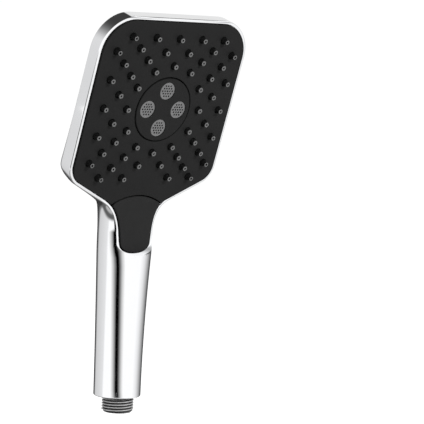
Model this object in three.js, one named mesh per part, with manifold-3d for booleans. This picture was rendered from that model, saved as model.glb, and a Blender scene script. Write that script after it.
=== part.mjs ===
// Handheld shower head with a push-button spray selector in its neck.
// Millimetres. The origin is the centre of the inlet nipple's end face, +Z runs up the handle,
// the spray face looks towards -Y and +X is to the right of it.
import * as THREE from "three";
import { mergeVertices } from "three/addons/utils/BufferGeometryUtils.js";
import Module from "manifold-3d";

const wasm = await Module();
wasm.setup();

// Fits
const GAP = 0.3;
const WALL = 2.1;
const RIM = 2.1;
const TIP_RIM = 1.1;
const BODY_SEGMENTS = 30;

// Inlet: a G1/2 male thread
const THREAD_RADIUS = 10.48;
const THREAD_ROOT = 9.32;
const THREAD_PITCH = 1.814;
const THREAD_LENGTH = 10.2;
const INLET_BORE = 6.9;
const BORE_DEPTH = 8.4;
const MOUTH_RADIUS = 7.6;
const MOUTH_DEPTH = 1.7;
const WATERWAY_RADIUS = 5.3;
const NIPPLE_TOP = 12;

// Handle: a round bar that widens upwards
const HANDLE_BOTTOM = 10.5;
const HANDLE_RADIUS = 15.4;
const HANDLE_GROWTH = 2.5;
const HANDLE_GROWN_AT = 106;
const HANDLE_BACK = 16.4;
const HANDLE_BACK_RISE = 1.1;

// Flat front of the neck, and the head that leans forward from the bend above it
const NECK_FACE = 10.7;
const BEND_Z = 139.3;
const BEND_V = -63.9;
const TILT = THREE.MathUtils.degToRad(18.43);
const TIP_V = -98.1;
const FLAT_STARTS_V = -90.6;

// Head
const FACE_HALF = 57.6;
const CORNER_RADIUS = 22;
const SIDE_WALL = 9;
const DOME = 7.5;

// Spray face
const PLATE_FRONT = 1.2;
const PLATE_THICK = 2.5;
const ARC_TOP_V = -60;
const ARC_END = { u: 20, v: -65.8 };
const PLATE_DOME = 2;
const DISC_RADIUS = 21.3;
const DISC_FRONT = 2.9;
const MESH_RADIUS = 5.9;
const MESH_OFFSET = 12.46;
const NOZZLE_BASE = 2.05;
const NOZZLE_TIP = 1.55;
const NOZZLE_BORE = 0.6;
const NOZZLE_SIDES = 6;
const NOZZLE_FRONT = 5.2;
const NOZZLE_HOLE = NOZZLE_BASE + 0.35;
const MAT_HALF = 52.5;
const MAT_CORNER = 20;
const MAT_FRONT = PLATE_FRONT - PLATE_THICK - GAP;
const MAT_THICK = 1.2;
const CHAMBER_HALF = 54.5;
const CHAMBER_CORNER = 19.5;
const CHAMBER_WALL = 3;
const CHAMBER_FRONT = MAT_FRONT - MAT_THICK - GAP;
const CHAMBER_BACK = -9.2;
const CHAMBER_FLOOR = 1.5;
const CHAMBER_SCREW = 30.5;
const SPOUT = { u: 6, w: -12.3, bore: 2.9, half: 3.6, mouthV: -35 };

// Selector valve, button and plunger in the neck; depths are measured towards +Y
const VALVE_Z = 118;
const VALVE_RADIUS = 8;
const VALVE_FRONT = 0.6;
const VALVE_BACK = 12.6;
const VALVE_FLOOR = 9.9;
const ROTOR_RADIUS = 5.6;
const TUBE_Y = 6;
const TUBE_RADIUS = 5;
const TUBE_BORE = 3.6;
const RISER_RADIUS = 2.6;
const RISER_BORE = 1.8;
const RISER_X = 4.4;
const PIN = { y: -7, z: 132, radius: 1.2, half: 11.4 };
const POST_X = 9.4;
const SOCKET = { radius: 7.2, from: 100, shoulder: 107.8, to: 112 };
const OUTLET = { radius: 4.1, from: 122.6, seat: 125.6, to: 129, port: 1.6 };
const BRACKET = { width: 22, height: 23.4, middleZ: 115.2, depth: 6.3, thick: 1.4 };
const ARM = { x: 10.05, width: 1.9, height: 9, middleZ: 130.4, eye: 2 };
const LUG = { x: 7.4, width: 2.8, height: 4.2, eye: 2.1 };
const BUTTON_FRONT = 11.9;
const BUTTON_THICK = 2.4;
const SPRING_Z = 108.3;

// Frames: local X and Y span the face, local Z points out of it
const NECK_FRAME = new THREE.Matrix4().makeRotationX(Math.PI / 2);
const HEAD_FRAME = headFrame();

function headFrame() {
  const turn = new THREE.Matrix4().makeRotationX(Math.PI / 2 + TILT);
  const bend = new THREE.Vector3(0, -NECK_FACE, BEND_Z);
  const centre = bend.sub(new THREE.Vector3(0, BEND_V, 0).applyMatrix4(turn));
  return turn.setPosition(centre);
}

// Solids

// A closed three.js geometry as a solid with its faces outward.
function solid(geometry) {
  const bare = geometry.clone();
  bare.deleteAttribute("normal");
  bare.deleteAttribute("uv");
  const merged = mergeVertices(bare, 1e-4);
  const triVerts = new Uint32Array(merged.index.array);
  const vertProperties = new Float32Array(merged.attributes.position.array);
  const made = new wasm.Manifold(new wasm.Mesh({ numProp: 3, vertProperties, triVerts }));
  return made.volume() < 0 ? solid(reversed(merged)) : made;
}

function reversed(geometry) {
  const flipped = geometry.clone();
  flipped.setIndex(Array.from(geometry.index.array).reverse());
  return flipped;
}

function joined(first, ...others) {
  return others.reduce((sum, next) => sum.add(next), first);
}

// A piece made for the left side and for the right.
function bothSides(make) {
  return joined(make(-1), make(1));
}

function cut(body, ...tools) {
  return body.subtract(joined(...tools));
}

function geometryOf(made) {
  const mesh = made.getMesh();
  const geometry = new THREE.BufferGeometry();
  geometry.setAttribute("position", new THREE.BufferAttribute(mesh.vertProperties, 3));
  geometry.setIndex(new THREE.BufferAttribute(mesh.triVerts, 1));
  geometry.computeVertexNormals();
  return geometry;
}

// A turned piece round local Z from [radius, height] points; it closes on itself or on the axis.
function turned(points, segments = 20) {
  const profile = points.map(([radius, height]) => new THREE.Vector2(radius, height));
  return solid(new THREE.LatheGeometry(profile, segments).rotateX(Math.PI / 2));
}

function rod(radius, from, to, segments = 20) {
  return turned([[0, from], [radius, from], [radius, to], [0, to]], segments);
}

function ring(inner, outer, from, to, segments = 20) {
  const corners = [[inner, from], [outer, from], [outer, to], [inner, to], [inner, from]];
  return turned(corners, segments);
}

function block(width, height, depth, x, y, z) {
  return solid(new THREE.BoxGeometry(width, height, depth).translate(x, y, z));
}

function slab(shape, from, to) {
  const options = { depth: to - from, bevelEnabled: false, curveSegments: 6 };
  return solid(new THREE.ExtrudeGeometry(shape, options).translate(0, 0, from));
}

// A tube along a curve.
function pipe(curve, radius, bore, steps, segments = 6) {
  const section = new THREE.Shape().absarc(0, 0, radius, 0, 2 * Math.PI);
  section.holes.push(new THREE.Path().absarc(0, 0, bore, 0, 2 * Math.PI));
  const options = { steps, curveSegments: segments, bevelEnabled: false, extrudePath: curve };
  return solid(new THREE.ExtrudeGeometry(section, options));
}

// Outlines

// Right half of the black face's outline, unfolded at the bend, from the top down to the button's tip.
function faceOutline() {
  const top = FACE_HALF - CORNER_RADIUS;
  const chin = 12.8;
  const chinV = -39.4;
  const jaw = THREE.MathUtils.degToRad(-63.4);
  const path = new THREE.Path();
  path.moveTo(0, FACE_HALF);
  path.absarc(top, top, CORNER_RADIUS, Math.PI / 2, 0, true);
  path.absarc(FACE_HALF - chin, chinV, chin, 0, jaw, true);
  path.lineTo(25, -63.6);
  path.bezierCurveTo(17.5, -67.4, 14.3, -75, 13.3, -85);
  path.lineTo(12.6, -91);
  path.bezierCurveTo(12.2, -96.5, 6, TIP_V, 0, TIP_V);
  return path;
}

// The outline's points moved outwards by `out`.
function outlinePoints(out) {
  const points = faceOutline().getPoints(4);
  return points.map((point, i) => {
    const before = points[Math.max(i - 1, 0)];
    const after = points[Math.min(i + 1, points.length - 1)];
    const along = after.clone().sub(before).normalize();
    if (i === 0) along.set(1, 0);
    if (i === points.length - 1) along.set(-1, 0);
    return new THREE.Vector2(point.x - along.y * out, point.y + along.x * out);
  });
}

// Half-width of the outline, moved outwards by `out`, at height v.
function halfWidth(v, out) {
  const points = outlinePoints(out);
  const next = points.findIndex((point, i) => i > 0 && point.y <= v);
  if (next < 1) return 0;
  const [above, below] = [points[next - 1], points[next]];
  if (above.y === below.y) return below.x;
  return THREE.MathUtils.mapLinear(v, above.y, below.y, above.x, below.x);
}

// A closed, mirrored shape from the right half's points, taken from the top down.
function mirrored(half) {
  const left = half.map((point) => new THREE.Vector2(-point.x, point.y)).reverse();
  const inner = left.filter((point) => Math.abs(point.x) > 1e-6);
  return new THREE.Shape([...half, ...inner]);
}

// The outline's right half down to height `low`, and up from it.
function outlineAbove(low, out) {
  const kept = outlinePoints(out).filter((point) => point.y > low);
  return [...kept, new THREE.Vector2(halfWidth(low, out), low)];
}

function outlineBelow(high, out) {
  const kept = outlinePoints(out).filter((point) => point.y < high);
  return [new THREE.Vector2(halfWidth(high, out), high), ...kept];
}

function roundedSquare(half, radius) {
  const shape = new THREE.Shape();
  const side = half - radius;
  shape.absarc(side, side, radius, 0, Math.PI / 2);
  shape.absarc(-side, side, radius, Math.PI / 2, Math.PI);
  shape.absarc(-side, -side, radius, Math.PI, 1.5 * Math.PI);
  shape.absarc(side, -side, radius, 1.5 * Math.PI, 2 * Math.PI);
  return shape;
}

// Centre and radius of the arc where the face plate meets the button.
function buttonArc() {
  const sag = ARC_TOP_V - ARC_END.v;
  const radius = (ARC_END.u ** 2 + sag ** 2) / (2 * sag);
  return { radius, centreV: ARC_TOP_V - radius };
}

// Chrome body

function handleSection(z) {
  const grown = Math.min(z / HANDLE_GROWN_AT, 1);
  const radius = HANDLE_RADIUS + HANDLE_GROWTH * grown ** 2;
  const back = HANDLE_BACK + HANDLE_BACK_RISE * grown;
  return { radius, centreY: back - radius };
}

// Width of the rim outside the face, narrow round the button's tongue.
function rimWidth(v) {
  return THREE.MathUtils.lerp(TIP_RIM, RIM, THREE.MathUtils.smoothstep(v, -80, BEND_V + 8));
}

// Depth of the body behind its front line, at height v.
function backDepth(v) {
  const { radius, centreY } = handleSection(BEND_Z);
  const handle = NECK_FACE + centreY + radius;
  const above = Math.sqrt(Math.max(0, 1 - (Math.max(v, 0) / (FACE_HALF + RIM)) ** 2));
  const spine = 1 - THREE.MathUtils.smoothstep(v, BEND_V - 5, BEND_V + 70);
  return SIDE_WALL + DOME * above + (handle - SIDE_WALL - DOME) * spine;
}

// Half a cross-section: angle 0 is the front centre, PI the back. Returns sideways and backward distances.
function bodySection(v, angle, inset) {
  const z = v - BEND_V + BEND_Z;
  const { radius, centreY } = handleSection(z);
  const middle = NECK_FACE + centreY;
  const edgeAngle = Math.acos(middle / radius);
  const barRadius = radius - inset;
  const barEdge = barRadius * Math.sin(edgeAngle);
  const edge = v < FLAT_STARTS_V ? barEdge : Math.max(barEdge, halfWidth(v, rimWidth(v) - inset));
  const share = angle / Math.PI;
  const front = 1 / 3;
  const round = share < front ? share / front : (share - front) / (1 - front);
  const isFront = share < front;

  const turn = isFront ? edgeAngle * round : edgeAngle + (Math.PI - edgeAngle) * round;
  const flare = (edge - barEdge) * (isFront ? round : (1 - round ** 2) ** 5);
  const bar = new THREE.Vector2(
    barRadius * Math.sin(turn) + flare,
    middle - barRadius * Math.cos(turn),
  );

  const proud = 1.5;
  const depth = backDepth(v) - inset;
  const wall = Math.min(SIDE_WALL, depth) - inset / 2;
  const sidePart = 0.25;
  const over = (Math.max(round - sidePart, 0) / (1 - sidePart)) * (Math.PI / 2);
  const head = isFront
    ? new THREE.Vector2(edge * round, -proud)
    : new THREE.Vector2(
        edge * Math.cos(over),
        round < sidePart
          ? THREE.MathUtils.lerp(-proud, wall, round / sidePart)
          : wall + (depth - wall) * Math.sin(over),
      );

  return bar.lerp(head, THREE.MathUtils.smoothstep(v, BEND_V - 10, BEND_V + 22));
}

// A point of the body from its section; the sections fan round the bend.
function bodyPoint(v, sideways, backward) {
  const lean = TILT * THREE.MathUtils.smoothstep(v, BEND_V - 12, BEND_V + 12);
  const up = Math.max(v - BEND_V, 0);
  const below = Math.min(v - BEND_V, 0);
  return new THREE.Vector3(
    sideways,
    -NECK_FACE - up * Math.sin(TILT) + backward * Math.cos(lean),
    BEND_Z + below + up * Math.cos(TILT) + backward * Math.sin(lean),
  );
}

// Heights of the sections, from the handle's lower end to the head's top.
function bodyStations(bottom, inset) {
  const handle = [bottom, 30, 55, 80, 98, 108].map((z) => z - BEND_Z + BEND_V);
  const head = outlinePoints(RIM - inset).map((point) => point.y);
  const joins = [-81, -77, -73, -67, -59, -30, -20, -5, 12, 25];
  const inHead = head.filter((v) => v > FLAT_STARTS_V);
  const all = [...inHead, ...joins, ...handle].sort((a, b) => b - a);
  const apart = (kept, v) => (kept.length && kept.at(-1) - v < 0.8 ? kept : [...kept, v]);
  return all.reduce(apart, []).reverse();
}

// The body's outer skin, or its inner one when inset, as a deformed closed cylinder.
function bodyForm(bottom, inset) {
  const stations = bodyStations(bottom, inset);
  const rows = stations.length - 1;
  const form = new THREE.CylinderGeometry(1, 1, rows, BODY_SEGMENTS, rows);
  const place = form.attributes.position;
  for (let i = 0; i < place.count; i++) {
    const point = new THREE.Vector3().fromBufferAttribute(place, i);
    const v = stations[Math.round(point.y + rows / 2)];
    const angle = Math.abs(Math.atan2(point.x, -point.z));
    const out = Math.hypot(point.x, point.z);
    const edge = bodySection(v, angle, inset);
    const middle = backDepth(v) / 2;
    const sideways = Math.sign(Math.round(point.x * 1e6)) * edge.x * out;
    const placed = bodyPoint(v, sideways, THREE.MathUtils.lerp(middle, edge.y, out));
    place.setXYZ(i, placed.x, placed.y, placed.z);
  }
  return solid(form);
}

// What the flat front takes off the round neck: a slot round the button, open above.
function neckFlat() {
  const wide = 40;
  const shoulder = [new THREE.Vector2(wide, BEND_V), new THREE.Vector2(wide, FLAT_STARTS_V)];
  const tip = outlineBelow(FLAT_STARTS_V, RIM).map(({ x, y }) => {
    const nearTip = 1 - THREE.MathUtils.smoothstep(y, TIP_V - RIM, FLAT_STARTS_V);
    return new THREE.Vector2(x, y + (RIM - TIP_RIM) * nearTip);
  });
  const shape = mirrored([...shoulder, ...tip]);
  return slab(shape, NECK_FACE, NECK_FACE + 40).translate([0, BEND_Z - BEND_V, 0]);
}

function buttonPocket() {
  const pocket = slab(mirrored(outlineBelow(BEND_V - 1, 0)), NECK_FACE - 5, NECK_FACE + 2);
  return pocket.translate([0, BEND_Z - BEND_V, 0]);
}

// A shallow recess for the face plate, and a deeper one for the spray chamber.
function faceOpening() {
  const plateRecess = slab(mirrored(outlineAbove(BEND_V - 3, 0)), MAT_FRONT - 1, 3);
  const room = roundedSquare(CHAMBER_HALF + GAP, CHAMBER_CORNER + GAP);
  return joined(plateRecess, slab(room, CHAMBER_BACK - GAP, 0));
}

function inFrame(made, frame) {
  return made.transform(frame.elements);
}

function chamberScrewPlaces() {
  return [[1, 1], [-1, 1], [-1, -1], [1, -1]].map(([x, y]) => [x * CHAMBER_SCREW, y * CHAMBER_SCREW]);
}

// Four posts on the body's back wall that take the spray chamber's screws.
function screwPosts(inset) {
  const post = (u, v) => {
    const back = v > 0 ? -13.6 : -19.2;
    const foot = inset ? CHAMBER_BACK - GAP - 3.2 : back;
    return rod(inset ? 1.4 : 3.5, foot, CHAMBER_BACK - GAP, 12).translate([u, v, 0]);
  };
  return inFrame(joined(...chamberScrewPlaces().map(([u, v]) => post(u, v))), HEAD_FRAME);
}

function chromeBody() {
  const wide = 200;
  const outer = bodyForm(HANDLE_BOTTOM, 0);
  const headFront = inFrame(block(wide, wide, 40, 0, BEND_V + wide / 2, 20), HEAD_FRAME);
  const shell = cut(outer, headFront, inFrame(neckFlat(), NECK_FRAME));

  const hollow = bodyForm(HANDLE_BOTTOM - 4, WALL);
  const front = block(wide, BEND_Z + 20, 40, 0, (BEND_Z - 20) / 2, NECK_FACE - WALL + 20);
  const skin = inFrame(front, NECK_FRAME);
  const belowButton = BEND_Z - BEND_V + TIP_V - RIM - WALL;
  const bored = hollow.intersect(block(wide, wide, belowButton, 0, 0, belowButton / 2));
  const room = joined(cut(hollow, skin), bored);
  const opened = cut(shell, room, inFrame(buttonPocket(), NECK_FRAME), inFrame(faceOpening(), HEAD_FRAME));
  return cut(joined(opened, screwPosts(false)), screwPosts(true));
}

// Inlet

function handleEnd() {
  const { radius, centreY } = handleSection(HANDLE_BOTTOM);
  return { bore: radius - WALL, centreY };
}

function inletNipple() {
  const { bore, centreY } = handleEnd();
  const ridges = [[MOUTH_RADIUS, 0], [THREAD_ROOT, 0]];
  for (let z = 1; z + THREAD_PITCH < THREAD_LENGTH; z += THREAD_PITCH) {
    ridges.push([THREAD_ROOT, z]);
    ridges.push([THREAD_RADIUS, z + 0.4 * THREAD_PITCH]);
    ridges.push([THREAD_RADIUS, z + 0.6 * THREAD_PITCH]);
  }
  ridges.push([THREAD_ROOT, THREAD_LENGTH], [THREAD_ROOT, NIPPLE_TOP]);
  ridges.push([WATERWAY_RADIUS, NIPPLE_TOP], [WATERWAY_RADIUS, BORE_DEPTH]);
  ridges.push([INLET_BORE, BORE_DEPTH], [INLET_BORE, MOUTH_DEPTH]);
  ridges.push([MOUTH_RADIUS, MOUTH_DEPTH], [MOUTH_RADIUS, 0]);
  const collar = cut(
    rod(bore - GAP, 11, 20.5, 32).translate([0, centreY, 0]),
    ring(bore - 1.8, bore + 1, 14, 16.2, 32).translate([0, centreY, 0]),
    rod(WATERWAY_RADIUS, 10, 21),
    rod(7.2, 17, 21),
  );
  return joined(turned(ridges), collar);
}

function nippleORing() {
  const { bore, centreY } = handleEnd();
  return ring(bore - 1.5, bore - 0.45, 14.3, 15.9, 32).translate([0, centreY, 0]);
}

// Holes of one radius, evenly round a circle, through a piece between two heights.
function holesRound(count, circle, radius, from, to) {
  const places = Array.from({ length: count }, (_, i) => (2 * Math.PI * i) / count);
  return joined(
    ...places.map((turn) =>
      rod(radius, from, to, 6).translate([circle * Math.cos(turn), circle * Math.sin(turn), 0]),
    ),
  );
}

function inletStrainer() {
  const holes = [holesRound(8, 5.2, 0.9, 0, 2), holesRound(5, 2.5, 0.8, 0, 2), rod(0.8, 0, 2, 6)];
  return cut(rod(7.3, 0.3, 1.3), ...holes);
}

function flowRegulator() {
  const rim = ring(4.9, INLET_BORE - GAP, 4.2, 8.1);
  const holes = [holesRound(8, 3.3, 0.7, 4, 9), rod(1.1, 4, 9, 6)];
  return joined(rim, cut(rod(5.2, 5.2, 6.8), ...holes));
}

function waterTube() {
  const lower = 12.4;
  const upper = 107.4;
  const route = new THREE.CubicBezierCurve3(
    new THREE.Vector3(0, 0, lower),
    new THREE.Vector3(0, 0, lower + 40),
    new THREE.Vector3(0, TUBE_Y, upper - 40),
    new THREE.Vector3(0, TUBE_Y, upper),
  );
  return pipe(route, TUBE_RADIUS, TUBE_BORE, 8);
}

// Selector valve. These pieces are built in the neck frame, where local Z is -Y.

// A round piece on the valve's axis, between two depths.
function onValve(made) {
  return made.translate([0, VALVE_Z, 0]);
}

function valveBody() {
  const cup = onValve(ring(ROTOR_RADIUS + GAP, VALVE_RADIUS, -VALVE_BACK, -VALVE_FRONT));
  const floor = onValve(rod(VALVE_RADIUS, -VALVE_BACK, -VALVE_FLOOR));
  const socket = ring(TUBE_RADIUS + GAP, SOCKET.radius, SOCKET.from, SOCKET.shoulder);
  const shoulder = rod(SOCKET.radius, SOCKET.shoulder - 0.1, SOCKET.shoulder + 1.6);
  const throat = rod(WATERWAY_RADIUS, SOCKET.shoulder + 1.2, SOCKET.to);
  const below = alongZ(joined(socket, shoulder, throat), 0);
  const outlets = bothSides((side) => alongZ(rod(OUTLET.radius, OUTLET.from, OUTLET.to), side * RISER_X));
  const cuts = joined(
    alongZ(rod(3, SOCKET.shoulder - 0.8, SOCKET.to + 2), 0),
    alongZ(ring(TUBE_RADIUS, 6.7, SOCKET.from - 1, SOCKET.from + 2.2), 0),
    bothSides((side) => alongZ(rod(RISER_RADIUS + GAP, OUTLET.seat, OUTLET.to + 1), side * RISER_X)),
    bothSides((side) => alongZ(rod(OUTLET.port, VALVE_Z, 127), side * (RISER_X - 1.2))),
    onValve(rod(ROTOR_RADIUS + GAP, -VALVE_FLOOR, 0)),
    posts(0.9, -2.5, 8),
  );
  return cut(joined(cup, floor, below, outlets, posts(2.4, -6, 5.3)), cuts);
}

// A piece turned round local Z, laid along the handle at sideways distance x on the tube's depth.
function alongZ(made, x) {
  return made.rotate([-90, 0, 0]).translate([x, 0, -TUBE_Y]);
}

function tubeSeal() {
  return alongZ(ring(TUBE_RADIUS + 0.25, 6.5, 100.2, 102), 0);
}

// Posts beside the valve that carry the button bracket.
function posts(radius, from, to) {
  return bothSides((side) => rod(radius, from, to, 16).translate([side * POST_X, VALVE_Z, 0]));
}

function valveCap() {
  return cut(onValve(ring(2.3, VALVE_RADIUS, -VALVE_FRONT + GAP, 1.4)), posts(2.7, -2, 2));
}

function selectorRotor() {
  const drum = rod(ROTOR_RADIUS, -9.5, -2);
  const hollow = rod(3.8, -10, -5);
  const window = rod(2, 0, 8, 12).rotate([-90, 0, 0]).translate([0, 0, -7.2]);
  const shaft = rod(2, -2.2, 1.7);
  return onValve(joined(cut(drum, hollow, window), shaft));
}

// A crown wheel: each ramp is pushed round by the plunger's finger.
function ratchetWheel() {
  const teeth = 8;
  const wheel = ring(1.2, 5.5, 2, 3);
  const ramp = new THREE.Shape([
    new THREE.Vector2(-1.6, 0),
    new THREE.Vector2(1.6, 0),
    new THREE.Vector2(1.6, 0.9),
  ]);
  const tooth = slab(ramp, 3.4, 5.3).rotate([90, 0, 90]).translate([0, 0, 2.8]);
  const crown = Array.from({ length: teeth }, (_, i) => tooth.rotate([0, 0, (360 * i) / teeth]));
  return onValve(joined(wheel, ...crown));
}

function riser(side) {
  const mouth = new THREE.Vector3(side * SPOUT.u, SPOUT.mouthV + 2, SPOUT.w).applyMatrix4(HEAD_FRAME);
  const along = new THREE.Vector3(0, -Math.sin(TILT), Math.cos(TILT));
  const route = new THREE.CubicBezierCurve3(
    new THREE.Vector3(side * RISER_X, TUBE_Y, 126),
    new THREE.Vector3(side * RISER_X, TUBE_Y, 140),
    mouth.clone().addScaledVector(along, -14),
    mouth,
  );
  return pipe(route, RISER_RADIUS, RISER_BORE, 6, 5);
}

// Button. Built in the neck frame.

function plungerHole() {
  return onValve(rod(2.8, 0, 20));
}

function buttonBracket() {
  const { width, height, middleZ, depth, thick } = BRACKET;
  const plate = block(width, height, thick, 0, middleZ, depth);
  const arms = bothSides((side) => block(ARM.width, ARM.height, thick, side * ARM.x, ARM.middleZ, depth));
  const eyes = bothSides((side) => eyeAt(side * ARM.x, ARM));
  const cup = rod(3.8, 2.6, 6, 16).translate([0, SPRING_Z, 0]);
  const springHole = rod(3, 3.4, 8, 16).translate([0, SPRING_Z, 0]);
  const pinHole = acrossX(rod(PIN.radius + 0.1, -20, 20, 16));
  return cut(joined(plate, arms, eyes, cup), springHole, pinHole, plungerHole(), posts(1.3, 5, 8));
}

function bracketScrew(side) {
  return joined(rod(0.75, -2, 7.5, 12), rod(2, 7.3, 8.2, 12)).translate([side * POST_X, VALVE_Z, 0]);
}

// A round piece turned to lie along X on the button pin's line.
function acrossX(made) {
  return made.rotate([0, 90, 0]).translate([0, PIN.z, -PIN.y]);
}

// The round eye of a lug or an arm at sideways distance x.
function eyeAt(x, { width, eye }) {
  return acrossX(rod(eye, x - width / 2, x + width / 2, 16));
}

function buttonPin() {
  return acrossX(rod(PIN.radius, -PIN.half, PIN.half, 16));
}

// Side view of a bent sheet that follows the neck's front and then the head's face.
function bentSheet(front, thick) {
  const reach = 12;
  const edge = (depth) => {
    const bend = new THREE.Vector2(front - depth, BEND_Z);
    const high = new THREE.Vector2(Math.sin(TILT), Math.cos(TILT)).multiplyScalar(reach).add(bend);
    return [new THREE.Vector2(front - depth, 100), bend, high];
  };
  const side = new THREE.Shape([...edge(0), ...edge(thick).reverse()]);
  return slab(side, -30, 30).rotate([0, -90, 0]);
}

// The tongue between the face plate's arc and the neck's tip.
function button() {
  const clear = 0.35;
  const tongue = slab(mirrored(outlineBelow(ARC_TOP_V + 2, -clear)), 0, 30);
  const sheet = tongue.translate([0, BEND_Z - BEND_V, 0]).intersect(bentSheet(BUTTON_FRONT, BUTTON_THICK));
  const underArc = inNeck(underButton(buttonArc().radius - clear));
  const lugs = bothSides((side) => {
    const x = side * LUG.x;
    return joined(eyeAt(x, LUG), block(LUG.width, LUG.height, 3, x, PIN.z, 8.5));
  });
  const pinHole = acrossX(rod(PIN.radius + GAP, -9, 9, 16));
  return cut(joined(sheet.intersect(underArc), lugs), pinHole);
}

// A solid of the head frame, seen from the neck frame.
function inNeck(made) {
  const toNeck = NECK_FRAME.clone().invert().multiply(HEAD_FRAME);
  return inFrame(made, toNeck);
}

function buttonSpring() {
  const turns = 4;
  const [from, to] = [3.7, 9.1];
  const radius = 2.1;
  const points = Array.from({ length: turns * 8 + 1 }, (_, i) => {
    const angle = (i / 8) * 2 * Math.PI;
    const height = THREE.MathUtils.lerp(from + 0.35, to - 0.35, i / (turns * 8));
    return new THREE.Vector3(radius * Math.cos(angle), SPRING_Z + radius * Math.sin(angle), height);
  });
  const wire = new THREE.Shape().absarc(0, 0, 0.35, 0, 2 * Math.PI);
  const route = new THREE.CatmullRomCurve3(points);
  const options = { steps: turns * 8, curveSegments: 3, bevelEnabled: false, extrudePath: route };
  return solid(new THREE.ExtrudeGeometry(wire, options));
}

function plunger() {
  const head = rod(3.1, 8.3, 9.1);
  const stem = rod(2.5, 4.9, 8.4);
  return onValve(joined(head, stem));
}

// Spray face. Built in the head frame.

// The nozzles along one side: how far along it, mirrored, and how far out from the centre.
const SIDE_NOZZLES = [
  [18.69, 47.06],
  [37.21, 47.06],
  [9.3, 38.09],
  [29.63, 39.91],
  [0, 29.34],
  [21.97, 32.51],
  [14.49, 25.3],
];
const SIDE_MIDDLE = [0, 47.06];

// A nozzle and its mirror image, or the single one that stands on the side's middle.
function nozzlePair([along, out]) {
  return along ? [[along, out], [-along, out]] : [[along, out]];
}

// The same pattern on all four sides; the bottom one has no middle nozzle, above the button.
function nozzlePlaces() {
  const sides = [0, 1, 2, 3].map((side) => {
    const bottom = side === 2;
    const pairs = SIDE_NOZZLES.flatMap(nozzlePair);
    const all = bottom ? pairs : [...pairs, SIDE_MIDDLE];
    const turn = (side * Math.PI) / 2;
    const around = new THREE.Vector2();
    return all.map(([x, y]) => new THREE.Vector2(x, y).rotateAround(around, turn));
  });
  return sides.flat();
}

function atNozzles(made) {
  return joined(...nozzlePlaces().map((place) => made.translate([place.x, place.y, 0])));
}

// The round the button's top edge follows, as a rod through the face.
function underButton(radius) {
  const { centreV } = buttonArc();
  return rod(radius, -20, 20, 96).translate([0, centreV, 0]);
}

// Height of the gently domed plate, at a share of the way out to its edge.
function domeHeight(share) {
  return PLATE_FRONT + PLATE_DOME * (1 - share ** 2);
}

function facePlate() {
  const back = PLATE_FRONT - PLATE_THICK;
  const flat = slab(mirrored(outlineAbove(ARC_END.v - 3, -GAP)), back, PLATE_FRONT + PLATE_DOME);
  const reach = 2 * FACE_HALF;
  const rise = [0.9, 0.75, 0.55, 0.35, 0].map((share) => [share * FACE_HALF, domeHeight(share)]);
  const edge = [[0, back - 1], [reach, back - 1], [reach, PLATE_FRONT], [FACE_HALF, PLATE_FRONT]];
  const blank = flat.intersect(turned([...edge, ...rise], 48));
  const centre = rod(DISC_RADIUS + GAP, -5, 5, 40);
  const holes = atNozzles(rod(NOZZLE_HOLE, -5, 5, NOZZLE_SIDES));
  return cut(blank, underButton(buttonArc().radius), centre, holes);
}

function nozzleMat() {
  const back = MAT_FRONT - MAT_THICK;
  const sheet = cut(slab(roundedSquare(MAT_HALF, MAT_CORNER), back, MAT_FRONT), rod(24.3, -5, 5, 40));
  const foot = back + 0.4;
  const side = [[NOZZLE_BASE, foot], [NOZZLE_BASE, PLATE_FRONT], [NOZZLE_TIP, NOZZLE_FRONT]];
  const cone = turned([[0, foot], ...side, [0, NOZZLE_FRONT]], NOZZLE_SIDES);
  return cut(joined(sheet, atNozzles(cone)), atNozzles(rod(NOZZLE_BORE, -5, 8, 4)));
}

function meshPlaces() {
  return [[MESH_OFFSET, 0], [0, MESH_OFFSET], [-MESH_OFFSET, 0], [0, -MESH_OFFSET]];
}

function atMeshes(made) {
  return joined(...meshPlaces().map(([u, v]) => made.translate([u, v, 0])));
}

function centreDisc() {
  const front = rod(DISC_RADIUS, MAT_FRONT - 0.2, DISC_FRONT, 40);
  const flange = rod(23.9, MAT_FRONT - MAT_THICK, MAT_FRONT, 40);
  const hollow = rod(19.5, MAT_FRONT - MAT_THICK - 1, 0, 32);
  const windows = joined(
    atMeshes(rod(MESH_RADIUS + GAP, 1.5, 5, 20)),
    atMeshes(rod(MESH_RADIUS - 0.8, -2, 2, 20)),
  );
  return cut(joined(front, flange), hollow, windows);
}

function sprayMesh([u, v]) {
  const holes = joined(holesRound(6, 3.1, 0.5, 0, 4), rod(0.5, 0, 4, 6));
  return cut(rod(MESH_RADIUS, 1.8, 2.5, 20), holes).translate([u, v, 0]);
}

function discSeal() {
  return ring(21.5, 23.7, CHAMBER_FRONT - 1, CHAMBER_FRONT, 32);
}

// A channel on the chamber's back from its mouth up to height `end`.
function spout(side, end, half, from, to) {
  const [middleV, middleW] = [(end + SPOUT.mouthV) / 2, (from + to) / 2];
  return block(2 * half, end - SPOUT.mouthV, to - from, side * SPOUT.u, middleV, middleW);
}

function spoutBore(side, end) {
  const length = end - 4 - SPOUT.mouthV;
  const bore = rod(SPOUT.bore, -1, length, 16).rotate([-90, 0, 0]);
  const port = rod(2, SPOUT.w, CHAMBER_BACK + 4, 16).translate([0, length - 2.4, -SPOUT.w]);
  return joined(bore, port).translate([side * SPOUT.u, SPOUT.mouthV, SPOUT.w]);
}

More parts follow.
